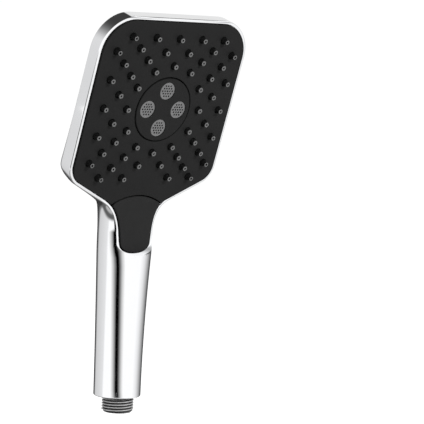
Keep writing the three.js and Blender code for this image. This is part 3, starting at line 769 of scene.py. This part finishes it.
def make_nozzle_mat():
    """The soft mat behind the plate, with its nozzles standing up through the plate's holes."""
    places = nozzle_places()
    loops = [rounded_square(MAT_HALF, MAT_CORNER), circle((0, 0), MAT_MIDDLE_RADIUS, 72)[::-1]]
    loops += [circle(place, MAT_HOLE_RADIUS, 20)[::-1] for place in places]
    sheet = cut_sheet(loops, MAT_BACK, MAT_FRONT, MAT_ROUND)
    one = nozzle()
    nozzles = [moved(one, (u, v, 0)) for u, v in places]
    mat = mesh_object("nozzle_mat_soft", put(joined(sheet, *nozzles), on_face), sharp=50)
    return placed(mat, "handle", "silicone", silicone(), "nozzle_mat")


MESH_RADIUS = 5.72
MESH_BACK = 1.8
MESH_FRONT = 2.35
MESH_HOLE = 0.6
MESH_PITCH = 1.95
MESH_BORDER = 0.8
DISC_FRONT = 2.85
DISC_ROUND = 0.4
DISC_NECK_RADIUS = 19.5
DISC_FOOT_RADIUS = 23.9
WINDOW_FLOOR = 1.5
WINDOW_ROUND = 0.25


def mesh_places():
    return [(MESH_OFFSET, 0), (0, MESH_OFFSET), (-MESH_OFFSET, 0), (0, -MESH_OFFSET)]


def disc_profile():
    """Half section of the centre disc: a foot under the plate, a neck up through it and a flat top."""
    under_top = 0.2
    side = DISC_RADIUS - 0.15
    inner = side - DISC_ROUND
    under = [(0, under_top), (DISC_NECK_RADIUS, under_top), (DISC_NECK_RADIUS, MAT_BACK)]
    foot = [(DISC_FOOT_RADIUS, MAT_BACK), (DISC_FOOT_RADIUS, MAT_FRONT), (side, MAT_FRONT)]
    edge = arc((inner, DISC_FRONT - DISC_ROUND), DISC_ROUND, 0, math.pi / 2, 6)
    top = [(radius, DISC_FRONT) for radius in np.linspace(19, 1, 12)]
    return [*under, *foot, *edge, *top, (0, DISC_FRONT)]


def make_centre_disc():
    """The raised disc in the middle, with a window over each mesh."""
    disc = mesh_object("spray_centre", put(turned(disc_profile(), 128, False), on_face), sharp=40)
    windows = []
    throughs = []
    for place in mesh_places():
        window = circle(place, MESH_RADIUS + 0.12, 56)
        through = circle(place, MESH_RADIUS - MESH_BORDER, 40)
        windows.append(cutter(window, on_face, mouth(DISC_FRONT, WINDOW_FLOOR, WINDOW_ROUND)))
        throughs.append(cutter(through, on_face, [(0, 2), (0, -4)]))
    cut_away(disc, mesh_object("windows", joined(*windows)), mesh_object("throughs", joined(*throughs)))
    smooth_shaded(disc, 40)
    weighted(disc)
    return placed(disc, "handle", "satin_black", satin_black(), "centre_disc")


def make_mesh(name, place):
    """A round perforated plate, with its holes on a hexagonal grid."""
    holes = []
    for row in range(-3, 4):
        for column in range(-4, 5):
            u = MESH_PITCH * (column + 0.5 * (row % 2))
            v = MESH_PITCH * math.sqrt(3) / 2 * row
            if math.hypot(u, v) < MESH_RADIUS - MESH_BORDER:
                holes.append(circle((u + place[0], v + place[1]), MESH_HOLE, 14)[::-1])
    outer = circle(place, MESH_RADIUS - 0.02, 64)
    plate = cut_sheet([outer, *holes], MESH_BACK, MESH_FRONT)
    mesh = mesh_object(name + "_fine", put(plate, on_face), sharp=40)
    return placed(mesh, "handle", "steel", fine_steel(), name)


# ---------------------------------------------------------------- button, nipple and spring


def folded(points):
    """Unfolded points (u, v, w) laid on the neck's front, and on the head above the bend."""
    points = np.asarray(points, float)
    u, v, w = points.T
    lean = TILT * smooth(v, BEND_V - 1.5, BEND_V + 1.5)
    up = np.maximum(v - BEND_V, 0)
    below = np.minimum(v - BEND_V, 0)
    y = -NECK_FACE - up * math.sin(TILT) - w * np.cos(lean)
    z = BEND_Z + below + up * math.cos(TILT) - w * np.sin(lean)
    return np.c_[u, y, z]


BUTTON_FRONT = 1.2
BUTTON_THICK = 2.4
BUTTON_ROUND = 0.45
BUTTON_CROWN = 0.18
BUTTON_MIDDLE = (0, -82)
BUTTON_CLEAR = 0.55
LUG_X = 7.4
LUG_HALF_WIDTH = 1.4
LUG_ROUND = 0.15
LUG_RADIUS = 2.1
PIN_HOLE = 1.5


def button_loop():
    """Outline of the button: the arc below the face plate, and the tongue."""
    radius = arc_circle()[0] - BUTTON_CLEAR
    half = half_below(ABOVE_ARC_V, -BUTTON_CLEAR)
    half = half[half[:, 1] < arc_height(half[:, 0], radius) - 0.3]
    start = half[0][0]
    u = np.linspace(0, start, 18)[:-1]
    return closed(np.vstack([np.c_[u, arc_height(u, radius)], half]))


def lug(side):
    """An arm under the button with an eye for the pin."""
    _, pin_y, pin_z = PIN_CENTRE
    eye = arc((pin_y, pin_z), LUG_RADIUS, math.radians(-90), math.radians(90), 14)
    front = -NECK_FACE + 0.6
    loop = np.vstack([eye, [(front, pin_z + LUG_RADIUS)], [(front, pin_z - LUG_RADIUS)]])[::-1]
    hole = circle((pin_y, pin_z), PIN_HOLE, 20)[::-1]
    middle = side * LUG_X
    points, faces = cut_sheet([loop, hole], middle - LUG_HALF_WIDTH, middle + LUG_HALF_WIDTH, LUG_ROUND)
    return points[:, [2, 0, 1]], faces


def button_crown(share):
    """Rise of the button's front, by the share of the way in from its edge to its middle."""
    return BUTTON_CROWN * math.sin(share * math.pi / 2)


def make_button():
    """The tongue-shaped push button: one bent shell, slightly crowned, on two lugs."""
    back = BUTTON_FRONT - BUTTON_THICK
    shell = crowned(button_loop(), BUTTON_MIDDLE, back, BUTTON_FRONT, BUTTON_ROUND, button_crown)
    solid = joined(put(shell, folded), lug(-1), lug(1))
    button = mesh_object("push_button", solid, sharp=40)
    return placed(button, "button", "button_black", button_black(), "button")


THREAD_RADIUS = 10.48
THREAD_ROOT = 9.32
THREAD_PITCH = 1.814
THREAD_LENGTH = 10.2
THREAD_STEEPNESS = 1.7
THREAD_ROOT_SHARE = 0.3


def thread_radius(z, turn):
    """Radius of the helical thread, faded out at both of its ends."""
    phase = (z / THREAD_PITCH - turn / (2 * math.pi)) % 1
    wave = 1 - 2 * np.abs(phase - 0.5)
    ridge = np.clip(wave * THREAD_STEEPNESS - THREAD_ROOT_SHARE, 0, 1)
    fade = smooth(z, 0.3, 1.3) * (1 - smooth(z, THREAD_LENGTH - 1.2, THREAD_LENGTH - 0.2))
    return THREAD_ROOT - 0.1 + (THREAD_RADIUS - THREAD_ROOT + 0.1) * ridge * fade


def make_nipple():
    """The threaded inlet: a helical thread below, and a grooved collar inside the handle's end."""
    count = 96
    turn = full_turn(count)
    bore, back, _ = box_mm("inlet_nipple")[1]
    shift = back - bore
    rings = []

    def level(radius, z, centre_y=0.0):
        rings.append(np.c_[radius * np.cos(turn), radius * np.sin(turn) + centre_y, np.full(count, z)])

    for radius, z in [(7.6, 1.7), (7.6, 0.15), (7.75, 0), (9.0, 0), (9.2, 0.2)]:
        level(radius, z)
    for z in np.linspace(0.3, THREAD_LENGTH, 66):
        level(thread_radius(z, turn), z)
    level(THREAD_ROOT - 0.3, 11)
    level(bore - 0.4, 11, shift)
    for radius, z in [(0, 11.4), (0, 14), (1.8, 14), (1.8, 16.2), (0, 16.2), (0, 20.2), (0.3, 20.5)]:
        level(bore - radius, z, shift)
    for radius, z in [(7.2, 20.5), (7.2, 17), (5.3, 17), (5.3, 8.4), (6.9, 8.4), (6.9, 1.7), (7.6, 1.7)]:
        level(radius, z)
    nipple = mesh_object("threaded_inlet", lofted(rings, close_ends=False), sharp=40)
    return placed(nipple, "handle", "inlet_grey", inlet_grey(), "inlet_nipple")


SPRING_Z = 108.3
SPRING_TURNS = 4
SPRING_RADIUS = 2.1
SPRING_WIRE = 0.33
SPRING_END_SHARE = 0.65


def make_spring():
    """The button's coil spring, with its end coils closed."""
    low, high = box_mm("button_spring")
    start, end = -high[1] + SPRING_WIRE, -low[1] - SPRING_WIRE
    steps = 40 * (SPRING_TURNS + 2)
    along = np.linspace(0, 1, steps + 1)
    turn = along * (SPRING_TURNS + 2) * 2 * math.pi
    eased = smooth(along, 0.02, 0.98)
    rise = (end - start) * (eased * (1 - SPRING_END_SHARE) + along * SPRING_END_SHARE)
    route = np.c_[SPRING_RADIUS * np.cos(turn), -start - rise, SPRING_Z + SPRING_RADIUS * np.sin(turn)]
    along_wire = np.gradient(route, axis=0)
    along_wire /= np.linalg.norm(along_wire, axis=1)[:, None]
    outward = np.c_[np.cos(turn), np.zeros(len(turn)), np.sin(turn)]
    across = np.cross(along_wire, outward)
    wire = SPRING_WIRE * np.c_[np.cos(full_turn(10)), np.sin(full_turn(10))]
    rings = [route[k] + wire @ [outward[k], across[k]] for k in range(len(route))]
    spring = mesh_object("return_spring", lofted(rings), sharp=60)
    placed(spring, "handle", "spring_steel", spring_steel(), "button_spring")
    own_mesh(spring)
    return spring


# ---------------------------------------------------------------- materials


def math_node(tree, operation, a, b):
    """One operation on two values, each a number or another node's output."""
    node = tree.nodes.new("ShaderNodeMath")
    node.operation = operation
    for socket, value in zip(node.inputs, (a, b)):
        if isinstance(value, (int, float)):
            socket.default_value = value
        else:
            tree.links.new(value, socket)
    return node.outputs[0]


class Surface:
    """A Principled material, with short calls for the textures that vary it."""

    def __init__(self, name, color, roughness, metallic=0.0, specular=0.5):
        self.material = bpy.data.materials.new(name)
        self.material.use_nodes = True
        self.tree = self.material.node_tree
        self.shader = self.tree.nodes["Principled BSDF"]
        self.shader.inputs["Base Color"].default_value = (*color, 1)
        self.shader.inputs["Roughness"].default_value = roughness
        self.shader.inputs["Metallic"].default_value = metallic
        self.shader.inputs["Specular IOR Level"].default_value = specular
        self.place = self.tree.nodes.new("ShaderNodeTexCoord").outputs["Object"]

    def link(self, a, b):
        self.tree.links.new(a, b)

    def noise(self, size_mm, detail=3.0, stretch=None):
        """Noise whose features are about `size_mm` across."""
        node = self.tree.nodes.new("ShaderNodeTexNoise")
        node.inputs["Scale"].default_value = 1 / (size_mm * MM)
        node.inputs["Detail"].default_value = detail
        place = self.place
        if stretch:
            mapping = self.tree.nodes.new("ShaderNodeMapping")
            mapping.inputs["Scale"].default_value = stretch
            self.link(place, mapping.inputs["Vector"])
            place = mapping.outputs["Vector"]
        self.link(place, node.inputs["Vector"])
        return node.outputs["Fac"]

    def ranged(self, value, low, high, to_low, to_high):
        """A value stretched from one range to another, and held inside it."""
        node = self.tree.nodes.new("ShaderNodeMapRange")
        for k, number in enumerate((low, high, to_low, to_high), start=1):
            node.inputs[k].default_value = number
        self.link(value, node.inputs[0])
        return node.outputs[0]

    def added(self, a, b):
        return math_node(self.tree, "ADD", a, b)

    def color(self, amount, first, second):
        """Base colour between two colours."""
        node = self.tree.nodes.new("ShaderNodeValToRGB")
        node.color_ramp.elements[0].color = (*first, 1)
        node.color_ramp.elements[1].color = (*second, 1)
        self.link(amount, node.inputs["Fac"])
        self.link(node.outputs["Color"], self.shader.inputs["Base Color"])

    def roughness(self, value):
        self.link(value, self.shader.inputs["Roughness"])

    def bump(self, height, depth_mm, strength=1.0):
        """Small dents, at most `depth_mm` deep."""
        node = self.tree.nodes.new("ShaderNodeBump")
        node.inputs["Strength"].default_value = strength
        node.inputs["Distance"].default_value = depth_mm * MM
        self.link(height, node.inputs["Height"])
        self.link(node.outputs["Normal"], self.shader.inputs["Normal"])


    def varied(self, color_mm, greys, rough_mm, roughs, bump_mm, depth_mm):
        """Clouds of colour, patches of roughness and a fine grain, each of its own size."""
        self.color(self.noise(color_mm, 4), *greys)
        self.roughness(self.ranged(self.noise(rough_mm, 3), 0.3, 0.7, *roughs))
        self.bump(self.noise(bump_mm, 2), depth_mm, 0.5)
        return self.material


def grey(level, warm=0.0):
    """A linear grey from its 0-255 display level."""
    linear = (level / 255 + 0.055) ** 2.4 / 1.055**2.4 if level > 10 else level / 255 / 12.92
    return (linear * (1 + warm), linear, linear * (1 - warm))


def once(make):
    """Each material is made once and shared."""
    made = []

    def get():
        if not made:
            made.append(make())
        return made[0]

    return get


@once
def chrome():
    surface = Surface("polished_chrome", (0.9, 0.905, 0.91), 0.05, 1)
    smudge = surface.noise(14, 4)
    fine = surface.noise(0.9, 2)
    film = surface.ranged(smudge, 0.35, 0.75, 0.03, 0.085)
    surface.roughness(surface.added(film, surface.ranged(fine, 0, 1, 0, 0.015)))
    surface.color(smudge, (0.88, 0.885, 0.89), (0.93, 0.935, 0.94))
    surface.bump(surface.noise(5, 2), 0.0016)
    return surface.material


@once
def satin_black():
    surface = Surface("satin_black_plastic", grey(17), 0.42, 0, 0.05)
    cloud = surface.noise(9, 4)
    grain = surface.noise(0.16, 2)
    surface.color(cloud, grey(24), grey(28))
    sheen = surface.ranged(cloud, 0.3, 0.7, 0.38, 0.46)
    surface.roughness(surface.added(sheen, surface.ranged(grain, 0, 1, -0.03, 0.03)))
    surface.bump(grain, 0.004, 0.6)
    return surface.material


@once
def button_black():
    surface = Surface("button_plastic", grey(20), 0.36, 0, 0.06)
    wear = surface.noise(6, 5)
    grain = surface.noise(0.14, 2)
    surface.color(wear, grey(27), grey(32))
    surface.roughness(surface.ranged(wear, 0.3, 0.7, 0.32, 0.42))
    surface.bump(grain, 0.003, 0.6)
    return surface.material


@once
def silicone():
    """Grey silicone on the nozzles' tips, with painted shade darkening the nozzle bodies below them."""
    surface = Surface("nozzle_silicone", grey(30), 0.6, 0, 0.15)
    reach = surface.tree.nodes.new("ShaderNodeVectorMath")
    reach.operation = "DOT_PRODUCT"
    reach.inputs[1].default_value = tuple(FACE_OUT)
    surface.link(surface.place, reach.inputs[0])
    base = float(HEAD_CENTRE @ FACE_OUT)
    tip_front = base + NOZZLE_FRONT
    tip_vs_painted_shade = surface.ranged(reach.outputs["Value"], (tip_front - 0.1) * MM, tip_front * MM, 0, 1)
    mottle = surface.ranged(surface.noise(0.8, 3), 0.3, 0.7, -0.12, 0.12)
    # Painted shade: the nozzle bodies get a near-black colour, and only the tips keep the silicone's own
    # grey.
    surface.color(surface.added(tip_vs_painted_shade, mottle), grey(12), grey(86))
    surface.roughness(surface.ranged(surface.noise(2, 3), 0.3, 0.7, 0.5, 0.68))
    surface.bump(surface.noise(0.12, 2), 0.006, 0.5)
    return surface.material


@once
def fine_steel():
    surface = Surface("etched_steel", grey(125), 0.45, 0.9)
    surface.color(surface.noise(1.2, 3), grey(112), grey(140))
    surface.roughness(surface.ranged(surface.noise(0.6, 3), 0.3, 0.7, 0.34, 0.55))
    surface.bump(surface.noise(0.1, 2), 0.004, 0.5)
    return surface.material


@once
def inlet_grey():
    """Moulded grey plastic with a satin plated look, with painted shade darkening it down in the thread's
    grooves.
    """
    surface = Surface("inlet_plastic", grey(165), 0.3, 0.7)
    flat = surface.tree.nodes.new("ShaderNodeVectorMath")
    flat.operation = "MULTIPLY"
    flat.inputs[1].default_value = (1, 1, 0)
    surface.link(surface.place, flat.inputs[0])
    out = surface.tree.nodes.new("ShaderNodeVectorMath")
    out.operation = "LENGTH"
    surface.link(flat.outputs["Vector"], out.inputs[0])
    # Painted shade: the colour runs from dark in the thread's grooves to light on its crests.
    painted_groove_shade = surface.ranged(out.outputs["Value"], THREAD_ROOT * MM, THREAD_RADIUS * MM, -0.15, 0.95)
    mottle = surface.ranged(surface.noise(3, 4), 0.3, 0.7, 0, 0.15)
    surface.color(surface.added(painted_groove_shade, mottle), grey(48), grey(190))
    surface.roughness(surface.ranged(surface.noise(1, 3), 0.3, 0.7, 0.28, 0.48))
    surface.bump(surface.noise(0.25, 2), 0.006, 0.5)
    return surface.material


@once
def white_plastic():
    surface = Surface("white_acetal", grey(225), 0.45, 0, 0.4)
    return surface.varied(5, (grey(215), grey(235, 0.01)), 1.5, (0.38, 0.55), 0.3, 0.005)


@once
def grey_plastic():
    surface = Surface("grey_acetal", grey(130), 0.5, 0, 0.4)
    return surface.varied(5, (grey(118), grey(142)), 1.5, (0.42, 0.6), 0.3, 0.005)


@once
def steel():
    surface = Surface("stainless_steel", grey(190), 0.3, 1)
    surface.color(surface.noise(4, 4), grey(175), grey(205))
    surface.roughness(surface.ranged(surface.noise(0.5, 3, (1, 1, 6)), 0.3, 0.7, 0.22, 0.4))
    surface.bump(surface.noise(0.2, 2, (1, 1, 8)), 0.003, 0.5)
    return surface.material


@once
def spring_steel():
    surface = Surface("spring_wire", grey(165), 0.28, 1)
    return surface.varied(1.5, (grey(150), grey(185)), 0.4, (0.22, 0.36), 0.15, 0.002)


@once
def rubber():
    surface = Surface("seal_rubber", grey(30), 0.7, 0, 0.3)
    return surface.varied(2, (grey(24), grey(38)), 0.7, (0.6, 0.8), 0.15, 0.008)


INSIDE_MATERIALS = {
    white_plastic: [
        "flow_regulator",
        "valve_cap",
        "riser_outer_spray",
        "riser_centre_spray",
        "selector_rotor",
        "plunger",
        "water_tube",
    ],
    grey_plastic: ["valve_body", "ratchet_wheel", "button_bracket", "spray_chamber"],
    steel: [
        "inlet_strainer",
        "bracket_screw_left",
        "bracket_screw_right",
        "button_pin",
        *[f"chamber_screw_{k}" for k in range(1, 5)],
    ],
    rubber: ["nipple_o_ring", "tube_seal_lower", "tube_seal_upper", "disc_seal"],
}


def dress_inside():
    """The carried-over CAD nodes keep their shapes and get a finish each."""
    for make, names in INSIDE_MATERIALS.items():
        for name in names:
            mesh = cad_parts[name].data
            mesh.materials.clear()
            mesh.materials.append(make())


# ---------------------------------------------------------------- studio

# The camera's turn round the part, its height angle and its roll, how far off it is, and its lens
VIEW_TURN = math.radians(-41.534)
VIEW_RISE = math.radians(4.983)
VIEW_ROLL = math.radians(2.524)
VIEW_DISTANCE = 1266.3
VIEW_AIM = (62.04, 130.2)
LENS = 164.31
SENSOR = 36


def camera_axes():
    """The camera's right, up and back directions."""
    back = np.array(
        [
            math.sin(VIEW_TURN) * math.cos(VIEW_RISE),
            -math.cos(VIEW_TURN) * math.cos(VIEW_RISE),
            math.sin(VIEW_RISE),
        ]
    )
    level = np.array([math.cos(VIEW_TURN), math.sin(VIEW_TURN), 0])
    upright = np.cross(back, level)
    right = level * math.cos(VIEW_ROLL) + upright * math.sin(VIEW_ROLL)
    return right, np.cross(back, right), back


def make_camera():
    right, up, back = camera_axes()
    place = right * VIEW_AIM[0] + up * VIEW_AIM[1] + back * VIEW_DISTANCE
    data = bpy.data.cameras.new("camera")
    data.lens = LENS
    data.sensor_width = SENSOR
    data.clip_end = 50
    camera = bpy.data.objects.new("camera", data)
    pose = Matrix(np.c_[right, up, back].tolist()).to_4x4()
    pose.translation = Vector(place * MM)
    camera.matrix_world = pose
    bpy.context.scene.collection.objects.link(camera)
    bpy.context.scene.camera = camera


FLOOR_Z = -120
FLOOR_RADIUS = 6000
# Brightness of the studio by degrees from the camera's direction, anticlockwise from above
STUDIO = [
    (-180, 0.03),
    (-150, 0.05),
    (-138, 0.25),
    (-130, 0.66),
    (-97, 0.76),
    (-76, 0.84),
    (-68, 1.1),
    (82, 1.1),
    (104, 0.88),
    (126, 0.5),
    (145, 0.2),
    (160, 0.05),
    (180, 0.03),
]
# Brightness of the patches laid over that ring, then of the light that falls and of the background
LOW_FLOOR = 0.12
WHITE_SIDE = 1.05
# Each ring of floor nearer to straight down: its brightness, and where it starts and is full
FLOOR_RINGS = [(0.5, 0.74, 0.84), (0.08, 0.91, 0.95)]
CEILING = 0.05
SOFTBOX = 0.84
FALLING = 0.3
BACKGROUND = 1.02


def make_world():
    """A soft studio: a ring of brightness round the part, a dark ceiling and a banded floor."""
    world = bpy.data.worlds.new("studio")
    world.use_nodes = True
    bpy.context.scene.world = world
    tree = world.node_tree
    link = tree.links.new
    way = tree.nodes.new("ShaderNodeTexCoord").outputs["Generated"]
    turn = tree.nodes.new("ShaderNodeVectorRotate")
    turn.rotation_type = "Z_AXIS"
    turn.inputs["Angle"].default_value = -VIEW_TURN
    link(way, turn.inputs["Vector"])
    parts = tree.nodes.new("ShaderNodeSeparateXYZ")
    link(turn.outputs["Vector"], parts.inputs["Vector"])

    across, away, height = (parts.outputs[axis] for axis in "XYZ")
    facing = math_node(tree, "MULTIPLY", away, -1)
    angle = math_node(tree, "ARCTAN2", across, facing)
    share = math_node(tree, "ADD", math_node(tree, "DIVIDE", angle, 2 * math.pi), 0.5)
    ramp = tree.nodes.new("ShaderNodeValToRGB")
    elements = ramp.color_ramp.elements
    while len(elements) < len(STUDIO):
        elements.new(0.5)
    for element, (degrees, level) in zip(elements, STUDIO):
        element.position = degrees / 360 + 0.5
        element.color = (level, level, level * 1.01, 1)
    link(share, ramp.inputs["Fac"])

    def between(value, low, high):
        """0 below `low`, 1 above `high`, smooth between them."""
        node = tree.nodes.new("ShaderNodeMapRange")
        node.interpolation_type = "SMOOTHSTEP"
        node.inputs["From Min"].default_value = low
        node.inputs["From Max"].default_value = high
        link(value, node.inputs["Value"])
        return node.outputs["Result"]

    def over(below, level, where):
        """The studio so far, with a patch of another brightness where the mask says."""
        node = tree.nodes.new("ShaderNodeMix")
        node.data_type = "RGBA"
        link(where, node.inputs["Factor"])
        link(below, node.inputs["A"])
        node.inputs["B"].default_value = (level, level, level, 1)
        return node.outputs["Result"]

    lowness = math_node(tree, "MULTIPLY", height, -1)
    low = between(lowness, 0.5, 0.66)
    right_side = math_node(tree, "MULTIPLY", low, between(across, 0.1, 0.3))
    raised = math_node(tree, "SUBTRACT", between(height, 0.01, 0.03), between(height, 0.66, 0.69))
    box_place = math_node(tree, "MULTIPLY", between(away, 0.3, 0.52), raised)
    studio = over(ramp.outputs["Color"], LOW_FLOOR, low)
    studio = over(studio, WHITE_SIDE, right_side)
    for level, start, full in FLOOR_RINGS:
        studio = over(studio, level, between(lowness, start, full))
    studio = over(studio, CEILING, between(height, 0.35, 0.88))
    studio = over(studio, SOFTBOX, box_place)
    rays = tree.nodes.new("ShaderNodeLightPath")
    studio = over(studio, FALLING, rays.outputs["Is Diffuse Ray"])
    studio = over(studio, BACKGROUND, rays.outputs["Is Camera Ray"])
    link(studio, tree.nodes["Background"].inputs["Color"])


def stage_sheet(name, points, faces, material):
    """A thin piece of the studio."""
    mesh = bpy.data.meshes.new(name)
    mesh.from_pydata((np.asarray(points) * MM).tolist(), [], faces)
    mesh.materials.append(material)
    sheet = bpy.data.objects.new(name, mesh)
    bpy.context.scene.collection.objects.link(sheet)
    return sheet


def glowing(name, level, diffuse):
    """A matt material that also glows."""
    material = bpy.data.materials.new(name)
    material.use_nodes = True
    shader = material.node_tree.nodes["Principled BSDF"]
    shader.inputs["Base Color"].default_value = (diffuse, diffuse, diffuse, 1)
    shader.inputs["Roughness"].default_value = 0.9
    shader.inputs["Specular IOR Level"].default_value = 0
    shader.inputs["Emission Color"].default_value = (1, 1, 1, 1)
    shader.inputs["Emission Strength"].default_value = level
    return material


CARD_DISTANCE = 300
# Turn from the camera's direction, in degrees, and height, of the card's black line at the card's two ends
CARD_LOW = (2, -60)
CARD_HIGH = (-62, 190)
# Brightness across the card, by degrees from its black line
CARD_LEVELS = [
    (-27, 1.1),
    (-17, 0.68),
    (-9, 0.3),
    (-4.5, 0.1),
    (-4, 0),
    (7, 0),
    (13, 0.2),
    (23, 0.7),
    (34, 1.1),
]

# The flag's place to the left, and the height of its lower and upper edges with their reach from
# the front of the neck
FLAG_X = -45
FLAG_EDGES = [(105, (1, 9)), (121, (3.4, 10.6))]


def reflected_only(card):
    """Leaves a piece of the studio in reflections only."""
    card.visible_camera = False
    card.visible_diffuse = False
    card.visible_shadow = False


def make_card():
    """A graded card whose black line is reflected down the handle."""
    points = []
    for line_turn, z in (CARD_LOW, CARD_HIGH):
        for degrees, _ in CARD_LEVELS:
            turn = VIEW_TURN + math.radians(line_turn + degrees)
            points.append((CARD_DISTANCE * math.sin(turn), -CARD_DISTANCE * math.cos(turn), z))
    count = len(CARD_LEVELS)
    faces = [(k, k + 1, count + k + 1, count + k) for k in range(count - 1)]
    material = glowing("graded_card", 0, 0)
    tree = material.node_tree
    reading = tree.nodes.new("ShaderNodeAttribute")
    reading.attribute_name = "level"
    tree.links.new(reading.outputs["Fac"], tree.nodes["Principled BSDF"].inputs["Emission Strength"])
    card = stage_sheet("graded_card", points, faces, material)
    level = card.data.attributes.new("level", "FLOAT", "POINT")
    level.data.foreach_set("value", [value for _, value in CARD_LEVELS] * 2)
    reflected_only(card)


def make_flag():
    """A small black flag beside the neck that carries the black line on up along the rim."""
    corners = [(FLAG_X, -NECK_FACE - depth, z) for z, depths in FLAG_EDGES for depth in depths]
    reflected_only(stage_sheet("neck_flag", corners, [(0, 1, 3, 2)], glowing("black_flag", 0, 0)))


def make_stage():
    """The pale floor, which isn't seen in reflections, and the two cards, which are seen only there."""
    count = 96
    points = at_height(circle((0, 0), FLOOR_RADIUS, count)[::-1], FLOOR_Z)
    floor = stage_sheet("floor", points, [list(range(count))], glowing("pale_floor", 0.75, 0.82))
    floor.visible_glossy = False
    make_card()
    make_flag()


# Each light's name, its direction along the camera's right, up and back, its distance, size and power
LIGHTS = [
    ("key_light", (1.0, 0.45, 0.8), 1500, 400, 24),
    ("fill_light", (-0.6, 0.2, 1), 1800, 1200, 6),
]


def make_light(name, towards, distance, size, power):
    """A round soft light that isn't seen itself."""
    data = bpy.data.lights.new(name, "AREA")
    data.shape = "DISK"
    data.size = size * MM
    data.energy = power
    light = bpy.data.objects.new(name, data)
    away = np.array(towards) @ np.array(camera_axes())
    away /= np.linalg.norm(away)
    light.location = Vector((HEAD_CENTRE + away * distance) * MM)
    light.rotation_euler = Vector(away).to_track_quat("Z", "Y").to_euler()
    light.visible_glossy = False
    light.visible_camera = False
    bpy.context.scene.collection.objects.link(light)


def make_studio():
    make_camera()
    make_world()
    make_stage()
    for light in LIGHTS:
        make_light(*light)
    bpy.context.scene.view_settings.view_transform = "Standard"


# ---------------------------------------------------------------- the whole part

make_body()
make_face_plate()
make_nozzle_mat()
make_centre_disc()
for mesh_name, mesh_place in zip(MESHES, mesh_places()):
    make_mesh(mesh_name, mesh_place)
make_button()
make_nipple()
make_spring()
dress_inside()
make_studio()
